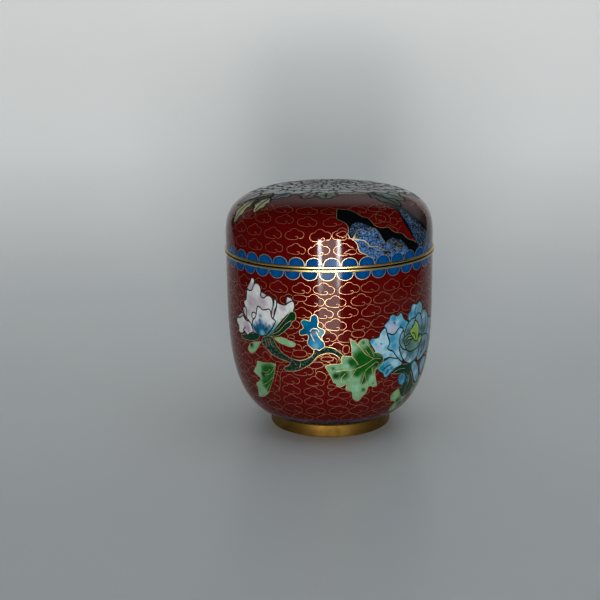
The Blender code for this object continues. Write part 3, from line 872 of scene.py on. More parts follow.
def crown_flower(d):
    """The large pale flower on top of the lid. It is wider than it is deep, and sits towards the back."""
    rng = np.random.default_rng(11)
    # Its whites, roses and blues are painted darker: painted shade on the lid's top.
    rings = (  # petals, inner and outer reach, lobes, ground, heart
        (11, 12.0, 27.0, 3, TOP_SHADED_WHITE, TOP_SHADED_ROSE), (10, 9.0, 22.0, 3, TOP_SHADED_BLUE, TOP_SHADED_WHITE),
        (9, 6.4, 17.4, 3, TOP_SHADED_WHITE, TOP_SHADED_ROSE), (8, 4.2, 13.0, 3, TOP_SHADED_WHITE, TOP_SHADED_BLUE),
        (6, 2.2, 9.0, 2, TOP_SHADED_WHITE, TOP_SHADED_ROSE), (5, 0.8, 5.4, 2, TOP_SHADED_BLUE, TOP_SHADED_WHITE),
    )

    def laid(points):
        return [(1.0 + 1.25 * x, 10.0 + 0.92 * y, *rest) for x, y, *rest in points]

    def cell(outline, ground, touches):
        d.cell(laid(outline), ground, laid(touches), "aged", on_top=True)

    for level, (petals, inner, outer, lobes, ground, heart) in enumerate(rings):
        for k in range(petals):
            a = math.tau * (k + 0.5 * (level % 2) + rng.uniform(-0.08, 0.08)) / petals
            reach = outer * rng.uniform(0.92, 1.06)
            near, far = inner + (reach - inner) * 0.35, inner + (reach - inner) * 0.8
            cell(petal(a, inner, reach, math.tau / petals * 1.2, lobes), ground,
                 [(*seen(near, a), outer * 0.22, heart), (*seen(far, a + 0.08), outer * 0.10, TOP_SHADED_BLUE)])
            for q in (-0.2, 0.02, 0.22):
                b = a + (q + rng.uniform(-0.05, 0.05)) * math.tau / petals
                bend = rng.uniform(-0.08, 0.08)
                line = [seen(near + 1, b), seen((near + far) / 2, b + bend), seen(far, b)]
                d.stroke(laid(line), "aged", on_top=True)
    turns = np.linspace(0, math.tau, 9)[:-1]
    cell([seen(1.9, t) for t in turns], LIME, [(0.0, 0.0, 1.0, CHARTREUSE)])


def lid_drawing():
    d = Drawing(lid_outline(), LID_LAPPETS_START)
    for motif in (lid_fillers, rock, lappet_border, crown_leaves, crown_flower):
        motif(d)
    return d


# ---------------------------------------------------------------- node trees


class Nodes:
    """A tree built node by node. An input is a value, or another node's output."""

    def node(self, kind, inputs=(), **settings):
        node = self.tree.nodes.new(kind if "Node" in kind else self.family + kind)
        for key, value in settings.items():
            setattr(node, key, value)
        for key, value in dict(inputs).items():
            named = (socket for socket in node.inputs if socket.name == key and socket.enabled)
            self.put(node.inputs[key] if isinstance(key, int) else next(named), value)
        return node

    def put(self, socket, value):
        if isinstance(value, bpy.types.NodeSocket):
            self.tree.links.new(value, socket)
        else:
            socket.default_value = value

    def get(self, kind, inputs=(), **settings):
        node = self.node(kind, inputs, **settings)
        return next(socket for socket in node.outputs if socket.enabled)

    def math(self, operation, *values):
        return self.get("ShaderNodeMath", dict(enumerate(values)), operation=operation)

    def times(self, *values):
        return self.math("MULTIPLY", *values)

    def parts(self, vector):
        return self.node("ShaderNodeSeparateXYZ", {0: vector}).outputs


class Finish(Nodes):
    """A material, worked from noises that follow the piece's own coordinates."""

    family = "ShaderNode"

    def __init__(self, name):
        self.material = bpy.data.materials.new(name)
        self.material.use_nodes = True
        self.tree = self.material.node_tree
        self.shader = self.tree.nodes["Principled BSDF"]

    @property
    def place(self):
        spot = self.tree.nodes.get("Texture Coordinate") or self.node("TexCoord")
        return spot.outputs["Object"]

    def noise(self, scale, detail=3.0, roughness=0.55, place=None):
        return self.get("TexNoise", {"Vector": place or self.place, "Scale": scale, "Detail": detail,
                                     "Roughness": roughness})

    def ramp(self, value, low, high, to_low=0.0, to_high=1.0):
        return self.get("MapRange", {"Value": value, "From Min": low, "From Max": high, "To Min": to_low,
                                     "To Max": to_high})

    def blend(self, mode, amount, first, second):
        inputs = {0: amount, 6: first, 7: second}
        return self.node("Mix", inputs, data_type="RGBA", blend_type=mode).outputs[2]

    def mix(self, amount, first, second):
        return self.blend("MIX", amount, (*first, 1), (*second, 1))

    def shaded(self, colour, share):
        """The colour, darker or lighter by a share."""
        grey = self.get("CombineColor", {0: share, 1: share, 2: share})
        return self.blend("MULTIPLY", 1.0, colour, grey)

    def pitted(self, colour, scale, low, high, depth):
        """The colour with fine dark pits in it."""
        pits = self.get("TexVoronoi", {"Vector": self.place, "Scale": scale})
        return self.shaded(colour, self.ramp(pits, low, high, depth, 1.0))

    def surface(self, inputs, height=None, strength=0.0, distance=0.0):
        if height is not None:
            bump = {"Height": height, "Strength": strength, "Distance": distance}
            inputs["Normal"] = self.get("Bump", bump)
        for key, value in inputs.items():
            self.put(self.shader.inputs[key], value)
        return self.material

    def glowing(self, colour, strength):
        """Gives light of its own in place of a surface that is lit."""
        self.tree.nodes.remove(self.shader)
        light = self.get("Emission", {"Color": colour, "Strength": strength})
        self.put(self.tree.nodes["Material Output"].inputs["Surface"], light)
        return self.material


class Tree(Nodes):
    """A Geometry Nodes tree with named inputs."""

    family = "GeometryNode"

    def __init__(self, name, inputs):
        self.tree = bpy.data.node_groups.new(name, "GeometryNodeTree")
        self.tree.interface.new_socket("Geometry", in_out="OUTPUT", socket_type="NodeSocketGeometry")
        self.key = {}
        for label, kind in inputs.items():
            socket = self.tree.interface.new_socket(label, in_out="INPUT", socket_type="NodeSocket" + kind)
            self.key[label] = socket.identifier
        self.inputs = self.tree.nodes.new("NodeGroupInput")

    def __getitem__(self, label):
        return self.inputs.outputs[label]

    def vector(self, x, y, z):
        return self.get("ShaderNodeCombineXYZ", {0: x, 1: y, 2: z})

    def shape(self, label):
        node = self.node("ObjectInfo", {"Object": self[label]}, transform_space="ORIGINAL")
        return node.outputs["Geometry"]

    def store(self, geometry, label, value, data_type="FLOAT", domain="POINT"):
        return self.get("StoreNamedAttribute", {"Geometry": geometry, "Name": label, "Value": value},
                        data_type=data_type, domain=domain)

    def stored(self, label, data_type="FLOAT"):
        return self.get("InputNamedAttribute", {"Name": label}, data_type=data_type)

    def outline_at(self, s):
        """The turned outline's own place and direction, at a distance along the wall."""
        along = {"Curves": self.shape("Outline"), "Length": self.math("SUBTRACT", s, self["Lead"])}
        outputs = self.node("SampleCurve", along, mode="LENGTH").outputs
        return self.parts(outputs["Position"]), self.parts(outputs["Tangent"])

    def finish(self, geometry):
        out = self.tree.nodes.new("NodeGroupOutput")
        self.tree.links.new(geometry, out.inputs[0])
        return self

    def piece(self, name, values):
        """A plain mesh object made by the tree with these values for its named inputs."""
        carrier = object_of(name, bpy.data.meshes.new(name))
        modifier = carrier.modifiers.new("made", "NODES")
        modifier.node_group = self.tree
        for label, value in values.items():
            modifier[self.key[label]] = value
        graph = bpy.context.evaluated_depsgraph_get()
        mesh = bpy.data.meshes.new_from_object(carrier.evaluated_get(graph))
        carrier.modifiers.remove(modifier)
        carrier.data = mesh
        return carrier


# ---------------------------------------------------------------- materials


def cloisonne_enamel():
    """Glossy fired enamel. The cells' colours are on the mesh, and its alpha says which are speckled."""
    f = Finish("fired_enamel")
    cells = f.node("VertexColor", layer_name="enamel").outputs
    speck = f.times(f.ramp(f.noise(1050.0, 4.0, 0.75), 0.46, 0.56), cells["Alpha"])
    flake = f.times(f.ramp(f.noise(1700.0, 2.0, 0.7), 0.54, 0.62), cells["Alpha"])
    colour = f.blend("MULTIPLY", speck, cells["Color"], (0.10, 0.12, 0.16, 1))
    colour = f.blend("ADD", flake, colour, (0.10, 0.14, 0.13, 1))
    tint = f.ramp(f.noise(1150.0), 0.36, 0.64)
    colour = f.blend("MULTIPLY", tint, colour, (0.86, 0.97, 1.0, 1))
    colour = f.shaded(colour, f.ramp(f.noise(800.0, 5.0, 0.7), 0.3, 0.7, 0.80, 1.18))
    colour = f.pitted(colour, 620.0, 0.035, 0.075, 0.45)
    polish = f.ramp(f.noise(130.0, 5.0), 0.35, 0.7, 0.05, 0.13)
    waves = f.noise(95.0, 2.0)
    looks = {"Base Color": colour, "Roughness": polish, "IOR": 1.5, "Specular IOR Level": 0.13}
    return f.surface(looks, waves, strength=0.12, distance=0.0002)


def counter_enamel():
    f = Finish("counter_enamel")
    cloudy = f.ramp(f.noise(260.0, 5.0), 0.3, 0.7)
    colour = f.pitted(f.mix(cloudy, DEEP_TURQUOISE, TURQUOISE), 420.0, 0.04, 0.09, 0.4)
    polish = f.ramp(f.noise(160.0), 0.3, 0.7, 0.1, 0.24)
    looks = {"Base Color": colour, "Roughness": polish}
    return f.surface(looks, f.noise(180.0), strength=0.3, distance=0.0003)


def flat_wire(name, bright, dull, roughness, metallic, sheen=0.5):
    """Flat wire, its polish broken by fine scratches and dull patches."""
    f = Finish(name)
    colour = f.mix(f.ramp(f.noise(380.0, 4.0), 0.35, 0.68), bright, dull)
    polish = f.ramp(f.noise(900.0, 3.0), 0.3, 0.7, roughness, roughness + 0.14)
    return f.surface({"Base Color": colour, "Roughness": polish, "Metallic": metallic,
                      "Specular IOR Level": sheen})


def turned_gilt(name, bright, dull, smooth, rough):
    """Gilt brass turned on a lathe: fine rings round the axis, some tarnish, and painted shade that darkens
    it near the seam.
    """
    f = Finish(name)
    squeezed = f.get("Mapping", {"Vector": f.place, "Scale": (4.0, 4.0, 9000.0)})
    rings = f.noise(1.0, 4.0, 0.7, squeezed)
    tarnish = f.ramp(f.noise(150.0, 5.0), 0.38, 0.72)
    colour = f.shaded(f.mix(tarnish, bright, dull), f.ramp(rings, 0.3, 0.7, 0.86, 1.08))
    # Painted shade: the gilt's colour darkens towards the seam between lid and vessel.
    seam = (LID_RIM_FOOT - SEAM_GAP / 2) * MM
    from_seam = f.math("ABSOLUTE", f.math("SUBTRACT", f.parts(f.place)[2], seam))
    dark, shade_gone = SEAM_SHADE_REACH
    seam_shade = f.ramp(from_seam, dark * MM, shade_gone * MM, 1.0, 0.0)
    colour = f.blend("MIX", seam_shade, colour, (*SEAM_SHADE, 1))
    polish = f.ramp(tarnish, 0.0, 1.0, smooth, rough)
    looks = {"Base Color": colour, "Roughness": polish, "Metallic": 1.0}
    return f.surface(looks, rings, strength=0.25, distance=0.00004)


# ---------------------------------------------------------------- meshes


def object_of(name, data):
    piece = bpy.data.objects.new(name, data)
    bpy.context.scene.collection.objects.link(piece)
    return piece


def mesh_of(name, points, faces, unit=1.0):
    mesh = bpy.data.meshes.new(name)
    mesh.from_pydata([(x * unit, y * unit, z * unit) for x, y, z in points], [], faces)
    return mesh


def line_object(name, runs):
    """Lines (points, closed) in millimetres as one curve object in metres. Points are (x, y) or (x, y, z)."""
    curve = bpy.data.curves.new(name, "CURVE")
    curve.dimensions = "3D"
    for points, closed in runs:
        spline = curve.splines.new("POLY")
        spline.points.add(len(points) - 1)
        for target, point in zip(spline.points, points):
            x, y, z = (*point, 0.0)[:3]
            target.co = (x * MM, y * MM, z * MM, 1.0)
        spline.use_cyclic_u = closed
    return object_of(name, curve)


def whole_turn(count):
    return np.arange(count) * (math.tau / count)


def settle(drawing):
    """Triangles of one wall, cut along every cell: (places on the disc, triangles, cell of each)."""
    wall = drawing.wall
    hollow = wall.radius[-1] > 1.0
    rings = [wall.disc(whole_turn(RING_SEGMENTS), np.full(RING_SEGMENTS, s))
             for s in ((wall.start, wall.end) if hollow else (wall.start,))]
    rings += [cell.ring for cell in drawing.cells]
    edges = []
    count = 0
    for ring in rings:
        size = len(ring)
        edges += [(count + k, count + (k + 1) % size) for k in range(size)]
        count += size
    rows = max(2, round((wall.end - wall.start) / (GRAIN * ROW_STEP)))
    for row in range(1, rows):
        s = wall.start + (wall.end - wall.start) * row / rows
        around = max(3, round(math.tau * wall.at(s)[0] / GRAIN))
        turns = (np.arange(around) + 0.5 * (row % 2)) * (math.tau / around)
        rings.append(wall.disc(turns, np.full(around, s)))
    if not hollow:
        rings.append(np.zeros((1, 2)))
    result = delaunay_2d_cdt([Vector(p) for p in np.concatenate(rings)], edges, [], 0, SAME_PLACE)
    places = np.array([tuple(v) for v in result[0]])
    triangles = np.array([f for f in result[2] if len(f) == 3])
    middles = places[triangles].mean(1)
    if hollow:
        keep = np.hypot(*middles.T) > wall.spread[-1] * math.cos(math.pi / RING_SEGMENTS)
        triangles, middles = triangles[keep], middles[keep]
    owner = np.full(len(triangles), -1)
    for cell in drawing.cells:
        owner[inside(middles, cell.ring)] = cell.order
    return places, triangles, owner


def corner_colours(drawing, angle, s, owners, ground):
    """The colour at each corner of each triangle, from the corner's place and the cell it is in."""
    colours = ground(angle, s)
    for cell in drawing.cells:
        chosen = np.flatnonzero(owners == cell.order)
        if not len(chosen):
            continue
        a, along = angle[chosen], s[chosen]
        if cell.on_top:
            reach = drawing.wall.end - along
            x, y = reach * np.sin(a), -reach * np.cos(a)
        else:
            x, y = a * WALL_RADIUS, along
        colours[chosen] = cell.colours(x, y)
    return colours


def turned_back(edge, profile, first):
    """Points turned from a profile that ends on the axis, and faces that join them to an edge."""
    count = len(edge)
    points = []
    rows = [edge]
    for radius, height in profile[:-1]:
        rows.append([first + len(points) + k for k in range(count)])
        points += [(radius * math.sin(a), -radius * math.cos(a), height) for a in whole_turn(count)]
    pole = first + len(points)
    points.append((0.0, 0.0, profile[-1][1]))
    steps = [(k, (k + 1) % count) for k in range(count)]
    faces = [(row[a], row[b], below[b], below[a]) for row, below in zip(rows, rows[1:]) for a, b in steps]
    return points, faces + [(rows[-1][a], rows[-1][b], pole) for a, b in steps]


def skin(name, drawing, ground, backs, material):
    """One enamelled wall as a closed shell, and its cells alone.

    Its backs are turned surfaces, each (the edge it starts from, its (radius, height) profile, flipped).
    """
    wall = drawing.wall
    flat, triangles, owner = settle(drawing)
    angle, s = wall.undisc(flat)
    points = wall.place(angle, s)
    normals = wall.normal(angle, s)
    corners = points[triangles]
    facing = np.cross(corners[:, 1] - corners[:, 0], corners[:, 2] - corners[:, 0])
    turned = (facing * normals[triangles].mean(1)).sum(1) < 0
    triangles[turned] = triangles[turned][:, ::-1]
    used = triangles.reshape(-1)
    colours = corner_colours(drawing, angle[used], s[used], np.repeat(owner, 3), ground)
    all_points = [tuple(p) for p in points]
    all_faces = triangles.tolist()
    for edge_s, profile, flipped in backs:
        away = (points - wall.place(a, edge_s) for a in whole_turn(RING_SEGMENTS))
        edge = [int(np.argmin((gap**2).sum(1))) for gap in away]
        more, faces = turned_back(edge, profile, len(all_points))
        all_points += more
        all_faces += [face[::-1] for face in faces] if flipped else faces
    mesh = mesh_of(name, all_points, all_faces, MM)
    mesh.materials.append(material)
    mesh.shade_smooth()
    lining = np.tile(np.array((*TURQUOISE, 0.0)), (len(mesh.loops) - len(used), 1))
    layer = mesh.color_attributes.new("enamel", "FLOAT_COLOR", "CORNER")
    layer.data.foreach_set("color", np.concatenate([colours, lining]).astype(np.float32).ravel())
    smooth = np.zeros((len(mesh.loops), 3), np.float32)
    mesh.corner_normals.foreach_get("vector", smooth.ravel())
    smooth[:len(used)] = normals[used]
    # Where a back meets the rim, its corners keep their own face's direction, so the edge stays crisp.
    for face in mesh.polygons[len(triangles):]:
        for loop in face.loop_indices:
            if mesh.loops[loop].vertex_index < len(points):
                smooth[loop] = face.normal
    mesh.normals_split_custom_set([tuple(n) for n in smooth])
    picture = mesh_of(name + "_cells", points, triangles[owner >= 0].tolist(), MM)
    return object_of(name, mesh), object_of(name + "_cells", picture)


# ---------------------------------------------------------------- geometry nodes


def wrapped(t, geometry):
    """Takes lines from the unrolled wall onto the turned one, and notes the wall's outward direction."""
    x, s, _ = t.parts(t.get("InputPosition"))
    (radius, _, height), (across, _, up) = t.outline_at(s)
    angle = t.math("DIVIDE", x, t["Wall Radius"])
    sine = t.math("SINE", angle)
    cosine = t.times(t.math("COSINE", angle), -1.0)
    place = t.vector(t.times(radius, sine), t.times(radius, cosine), height)
    out = t.times(up, t["Outward"])
    rise = t.times(t.times(across, t["Outward"]), -1.0)
    facing = t.vector(t.times(out, sine), t.times(out, cosine), rise)
    geometry = t.store(geometry, "facing", facing, "FLOAT_VECTOR")
    return t.get("SetPosition", {"Geometry": geometry, "Position": place})


def cloud_rows(t):
    """Rows of cloud scrolls round the wall, as many in each row as its own girth holds, set off by half."""
    rows = t.get("MeshLine", {"Count": t["Rows"], "Start Location": t.vector(0.0, t["First Row"], 0.0),
                              "Offset": t.vector(0.0, t["Row Spacing"], 0.0)}, mode="OFFSET")
    rows = t.get("MeshToPoints", {"Mesh": rows})
    _, s, _ = t.parts(t.get("InputPosition"))
    (radius, _, _), _ = t.outline_at(s)
    fitting = t.math("ROUND", t.math("DIVIDE", t.times(radius, math.tau), t["Cloud Pitch"]))
    rows = t.store(rows, "around", fitting)
    rows = t.store(rows, "stretch", t.math("DIVIDE", t["Wall Radius"], radius))
    rows = t.store(rows, "row", t.get("InputIndex"))
    around = t.stored("around")
    copies = t.node("DuplicateElements", {"Geometry": rows, "Amount": around}, domain="POINT").outputs

    def uneven(spread, seed):
        reach = t.times(t["Unevenness"], spread)
        low = t.times(reach, -1.0)
        return t.get("FunctionNodeRandomValue", {"Min": low, "Max": reach, "Seed": seed}, data_type="FLOAT")

    half = t.times(t.math("MODULO", t.stored("row"), 2.0), 0.5)
    share = t.math("ADD", t.math("ADD", copies["Duplicate Index"], half), t["Phase"])
    share = t.math("DIVIDE", t.math("ADD", share, uneven(0.06, 3)), around)
    share = t.math("SUBTRACT", t.math("FRACT", share), 0.5)
    x = t.times(share, t.times(t["Wall Radius"], math.tau))
    s = t.math("ADD", s, uneven(0.0003, 4))
    points = t.get("SetPosition", {"Geometry": copies["Geometry"], "Position": t.vector(x, s, 0.0)})
    size = t.math("ADD", 1.0, uneven(0.07, 5))
    scale = t.vector(t.times(size, t.stored("stretch")), size, 1.0)
    clouds = t.get("InstanceOnPoints", {"Points": points, "Instance": t.shape("Cloud"), "Scale": scale,
                                        "Rotation": t.vector(0.0, 0.0, uneven(0.09, 6))})
    threads = t.get("CurveToMesh", {"Curve": wrapped(t, t.get("RealizeInstances", {"Geometry": clouds}))})
    near = t.node("Proximity", {0: t.shape("Cells")}, target_element="FACES").outputs["Distance"]
    covered = t.get("FunctionNodeCompare", {"A": near, "B": t["Clearance"]}, data_type="FLOAT",
                    operation="LESS_THAN")
    threads = t.get("DeleteGeometry", {"Geometry": threads, "Selection": covered}, domain="POINT", mode="ALL")
    return t.get("MeshToCurve", {"Mesh": threads})


def lappet_row(t):
    pitch = t.math("DIVIDE", t.times(t["Wall Radius"], math.tau), t["Lappets"])
    row = t.get("MeshLine", {"Count": t["Lappets"], "Start Location": t.vector(t["Lappet Start"], 0.0, 0.0),
                             "Offset": t.vector(pitch, 0.0, 0.0)}, mode="OFFSET")
    arcs = t.get("InstanceOnPoints", {"Points": row, "Instance": t.shape("Lappet")})
    return wrapped(t, t.get("RealizeInstances", {"Geometry": arcs}))


def wirework():
    """Every wire of one wall: cloud scrolls, lappets and drawn lines, swept as flat wire in the enamel."""
    kinds = {"Object": ("Drawn Lines", "Cells", "Outline", "Cloud", "Lappet"), "Int": ("Rows", "Lappets"),
             "Float": ("Wall Radius", "Lead", "Outward", "First Row", "Row Spacing", "Cloud Pitch", "Phase",
                       "Unevenness", "Clearance", "Lappet Start", "Wire Width", "Wire Stand"),
             "Material": ("Metal",)}
    t = Tree("wirework", {label: kind for kind, labels in kinds.items() for label in labels})
    lines = t.node("JoinGeometry")
    for part in (wrapped(t, t.shape("Drawn Lines")), cloud_rows(t), lappet_row(t)):
        t.tree.links.new(part, lines.inputs[0])
    facing = t.stored("facing", "FLOAT_VECTOR")
    lines = t.get("SetCurveNormal", {"Curve": lines.outputs[0], "Normal": facing}, mode="FREE")
    # A three-sided wire: its flat side is level with the enamel and as wide as the wire, its keel is buried.
    girth = t.math("DIVIDE", t["Wire Width"], math.sqrt(3))
    keel = t.get("CurvePrimitiveCircle", {"Resolution": 3, "Radius": girth}, mode="RADIUS")
    sink = t.math("SUBTRACT", t["Wire Stand"], t.times(girth, 0.5))
    keel = t.get("Transform", {"Geometry": keel, "Translation": t.vector(sink, 0.0, 0.0),
                               "Rotation": (0.0, 0.0, math.pi)})
    wires = t.get("CurveToMesh", {"Curve": lines, "Profile Curve": keel, "Fill Caps": True})
    wires = t.get("SetShadeSmooth", {"Geometry": wires, "Shade Smooth": False})
    wires = t.get("RealizeInstances", {"Geometry": wires})
    return t.finish(t.get("SetMaterial", {"Geometry": wires, "Material": t["Metal"]}))


def turning():
    """A ring or a bowl turned round the axis from a closed half section."""
    t = Tree("turning", {"Section": "Object", "Segments": "Int", "Weld": "Float", "Sharp Angle": "Float",
                         "Finish": "Material"})
    # The circle's own radius is a hair, so each point of the section stays at its own distance from the axis.
    circle = t.get("CurvePrimitiveCircle", {"Resolution": t["Segments"], "Radius": 1e-7}, mode="RADIUS")
    circle = t.get("ReverseCurve", {"Curve": circle})
    circle = t.get("SetCurveNormal", {"Curve": circle, "Normal": t.get("InputPosition")}, mode="FREE")
    body = t.get("CurveToMesh", {"Curve": circle, "Profile Curve": t.shape("Section"), "Fill Caps": False})
    body = t.get("MergeByDistance", {"Geometry": body, "Distance": t["Weld"]})
    sharp = t.get("FunctionNodeCompare", {"A": t.get("InputMeshEdgeAngle"), "B": t["Sharp Angle"]},
                  data_type="FLOAT", operation="GREATER_THAN")
    body = t.store(body, "sharp_edge", sharp, "BOOLEAN", "EDGE")
    body = t.get("RealizeInstances", {"Geometry": body})
    return t.finish(t.get("SetMaterial", {"Geometry": body, "Material": t["Finish"]}))


# ---------------------------------------------------------------- pieces


def rounded(corners, steps=4):
    """A closed section with its corners rounded, each (radius, height) or (radius, height, own rounding)."""
    section = []
    for i, (radius, height, *own) in enumerate(corners):
        here = np.array((radius, height), float)
        ends = []
        for other in (corners[i - 1], corners[(i + 1) % len(corners)]):
            away = np.array(other[:2], float) - here
            ends.append(here + away / np.linalg.norm(away) * (own[0] if own else ROUNDING))
        for k in range(steps + 1):
            q = k / steps
            section.append(tuple((1 - q) ** 2 * ends[0] + 2 * q * (1 - q) * here + q**2 * ends[1]))
    return section


def mouth_rim_section():
    top = LID_RIM_FOOT - SEAM_GAP
    neck = WALL_RADIUS - WALL - COLLAR_PLAY
    bore = neck - COLLAR_WALL
    return rounded([(bore, COLLAR_TOP), (bore, MOUTH_RIM_FOOT), (RIM_RADIUS, MOUTH_RIM_FOOT),
                    (RIM_RADIUS, top), (neck, top, CRISP), (neck, COLLAR_TOP)])


def lid_rim_section():
    bore = WALL_RADIUS - WALL
    return rounded([(bore, LID_RIM_TOP), (bore, LID_RIM_FOOT), (RIM_RADIUS, LID_RIM_FOOT),
                    (RIM_RADIUS, LID_RIM_TOP)])


def foot_section():
    inner = FOOT_RADIUS - FOOT_WALL
    top = VESSEL_BASE + FOOT_LAP
    return rounded([(inner, top, CRISP), (inner, 0.0), (FOOT_RADIUS, 0.0, FOOT_CORNER),
                    (FOOT_RADIUS, top, CRISP)])


def vessel_lining_section(wall):
    """The counter enamel inside the bowl, between the copper and the hollow."""
    floor = VESSEL_BASE + BASE_DISH + WALL
    copper = floor - WALL + ENAMEL_AND_COPPER
    under = copper + TOUCH
    inner = [(r, z) for r, z in wall.inset(WALL, BOWL_STEPS) if z > floor]
    outer = [(r, z) for r, z in wall.inset(ENAMEL_AND_COPPER + TOUCH, BOWL_STEPS) if z > copper]
    return [(0.0, floor), (inner[-1][0] - FLOOR_CORNER, floor), *inner[::-1], *outer,
            (outer[-1][0] - FLOOR_CORNER, under), (0.0, under)]


def lid_lining_section(wall):
    inner = closed_inset(wall, WALL, DOME_STEPS)
    outer = closed_inset(wall, ENAMEL_AND_COPPER + TOUCH, DOME_STEPS)
    return inner + outer[::-1]


def closed_inset(wall, depth, count):
    """The other side of a wall that closes at the top, ended on the axis."""
    *points, top = wall.inset(depth, count)
    return [*points, (0.0, top[1])]


def vessel_ground(angle, s):
    """Oxblood down to the slate blue band above the foot, which ends in uneven painted shade where the wall
    turns under to the foot.
    """
    red, slate, under_shade = (np.array((*colour, 0.0)) for colour in (OXBLOOD, SLATE, UNDER_SHADE))
    below = s - SLATE_BAND
    waver = UNDER_SHADE_WAVER * np.sin(5 * angle) * np.sin(13 * angle)
    banded = np.clip(below / SLATE_FADE, 0, 1)[:, None]
    # Painted shade: the band goes dark, unevenly, where the wall turns in over the foot.
    under_shaded = np.clip((below - UNDER_SHADE_START + waver) / UNDER_SHADE_FADE, 0, 1)[:, None]
    return (red * (1 - banded) + slate * banded) * (1 - under_shaded) + under_shade * under_shaded


def lid_ground(angle, s):
    return np.tile(np.array((*OXBLOOD, 0.0)), (len(s), 1))


def cloud_line():
    """One cloud scroll: a hook inside it, round the foot of the cloud, over three humps, back to the hook."""
    line = [(0.3, 1.1), (0.9, 0.9), (1.4, 1.3), (1.2, 1.9), (0.4, 2.2), (-1.6, 2.1), (-3.2, 1.7),
            (-3.9, 0.8), (-3.7, -0.3), (-2.8, -1.0), (-1.9, -1.2), (-1.3, -1.9), (-0.1, -2.3),
            (1.1, -1.9), (1.8, -1.2), (2.8, -1.0), (3.7, -0.3), (3.9, 0.6), (3.4, 1.5), (2.5, 1.9),
            (1.8, 1.7)]
    return CLOUD_SIZE * drawn(line, False)


def belongs(piece, node=None):
    """Makes a finished mesh part of the caddy, in place of a CAD node where it stands for one."""
    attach(piece, BODY)
    if node:
        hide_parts(node)
    PIECES.append(piece)


def enamelled(name, node, drawing, ground, backs, clouds, dark_wire):
    """The enamel skin of one wall and the three kinds of wire in it."""
    piece, cells = skin(name, drawing, ground, backs, ENAMEL)
    belongs(piece, node)
    wall = drawing.wall
    guides = {
        "Outline": ((r, 0.0, z) for r, z in zip(wall.radius, wall.height)),
        "Cloud": ((x, -wall.outward * y) for x, y in cloud_line()),
        "Lappet": lappet_line(wall.start),
    }
    shared = {"Cells": cells, "Wall Radius": WALL_RADIUS * MM, "Lead": wall.start * MM,
              "Outward": float(wall.outward), "Unevenness": 1.0, "Clearance": CLOUD_CLEARANCE * MM,
              "Lappet Start": drawing.lappets_start * MM, "Wire Stand": WIRE_STAND * MM}
    for label, points in guides.items():
        shared[label] = line_object(name + "_" + label.lower(), [(list(points), False)])
    no_clouds = {"Rows": 0, "First Row": 0.0, "Row Spacing": 0.0, "Cloud Pitch": 1.0, "Phase": 0.0}
    for kind, metal, width, rows, lappets in (("gilt", GILT_WIRE, OUTLINE_WIRE, no_clouds, LAPPETS),
                                              ("cloud", COPPER_WIRE, CLOUD_WIRE, clouds, 0),
                                              ("aged", AGED_WIRE, dark_wire, no_clouds, 0)):
        lines = line_object(name + "_" + kind, drawing.runs(kind))
        own = {"Drawn Lines": lines, "Metal": metal, "Wire Width": width * MM, "Lappets": lappets}
        wires = WIREWORK.piece(name.replace("enamel", kind + "_wires"), {**shared, **rows, **own})
        belongs(wires)
        bpy.data.objects.remove(lines)
    for label in ("Cells", *guides):
        bpy.data.objects.remove(shared[label])


def turned_piece(name, section, finish, node=None, segments=EDGE_SEGMENTS):
    """A turned ring or lining. Its section is drawn the way round that makes its faces look outward."""
    radius, height = np.array(section).T
    area = (radius * np.roll(height, -1) - np.roll(radius, -1) * height).sum()
    guide = line_object(name + "_section", [(section if area > 0 else section[::-1], True)])
    piece = TURNING.piece(name, {"Section": guide, "Segments": segments, "Weld": WELD,
                                 "Sharp Angle": SHARP_BEND, "Finish": finish})
    bpy.data.objects.remove(guide)
    belongs(piece, node)


# ---------------------------------------------------------------- stage

SHOT_HEIGHT = 0.1712
SHOT_DISTANCE = 0.4832
SHOT_PITCH = math.radians(14.31)
SHOT_PAN = math.radians(-1.357)
SHOT_ROLL = math.radians(-0.753)
LENS = 77.2
SENSOR = 36.0

TABLE_EDGE = -0.175
COVE_START = 0.05
COVE = 0.27
CARD_TOP = 0.47
CARD_MIDDLE = 0.25  # half the width of the part that shows in the gloss
CARD_HALF = 2.2
ROOM_RADIUS = 2.7
ROOM_FOOT = -1.2
ROOM_TOP = 3.0
TABLE_FRONT = -1.6
GLOW_HALF = 0.6
WINDOW_AWAY = -3.0
STRIP_ASIDE = 0.535


def camera():
    data = bpy.data.cameras.new("camera")
    data.lens = LENS
    data.sensor_width = SENSOR
    shot = object_of("camera", data)
    ahead = Vector((math.sin(SHOT_PAN) * math.cos(SHOT_PITCH), math.cos(SHOT_PAN) * math.cos(SHOT_PITCH),
                    -math.sin(SHOT_PITCH)))
    level = Vector((math.cos(SHOT_PAN), -math.sin(SHOT_PAN), 0.0))
    raised = level.cross(ahead)
    right = level * math.cos(SHOT_ROLL) + raised * math.sin(SHOT_ROLL)
    up = raised * math.cos(SHOT_ROLL) - level * math.sin(SHOT_ROLL)
    turn = Matrix((right, up, -ahead)).transposed().to_4x4()
    shot.matrix_world = Matrix.Translation((0.0, -SHOT_DISTANCE, SHOT_HEIGHT)) @ turn
    bpy.context.scene.camera = shot


def staged(mesh, material, unseen=()):
    """A mesh that belongs to the room. It can be left unseen by some kinds of light rays."""
    mesh.materials.append(material)
    thing = object_of(mesh.name, mesh)
    for ray in unseen:
        setattr(thing, "visible_" + ray, False)


def sheet(name, line, left, right, material, unseen=()):
    """A sheet of card that hangs along a line of (y, z) points."""
    count = len(line)
    faces = [(k, k + count, k + count + 1, k + 1) for k in range(count - 1)]
    mesh = mesh_of(name, [(x, y, z) for x in (left, right) for y, z in line], faces)
    mesh.shade_smooth()
    staged(mesh, material, unseen)


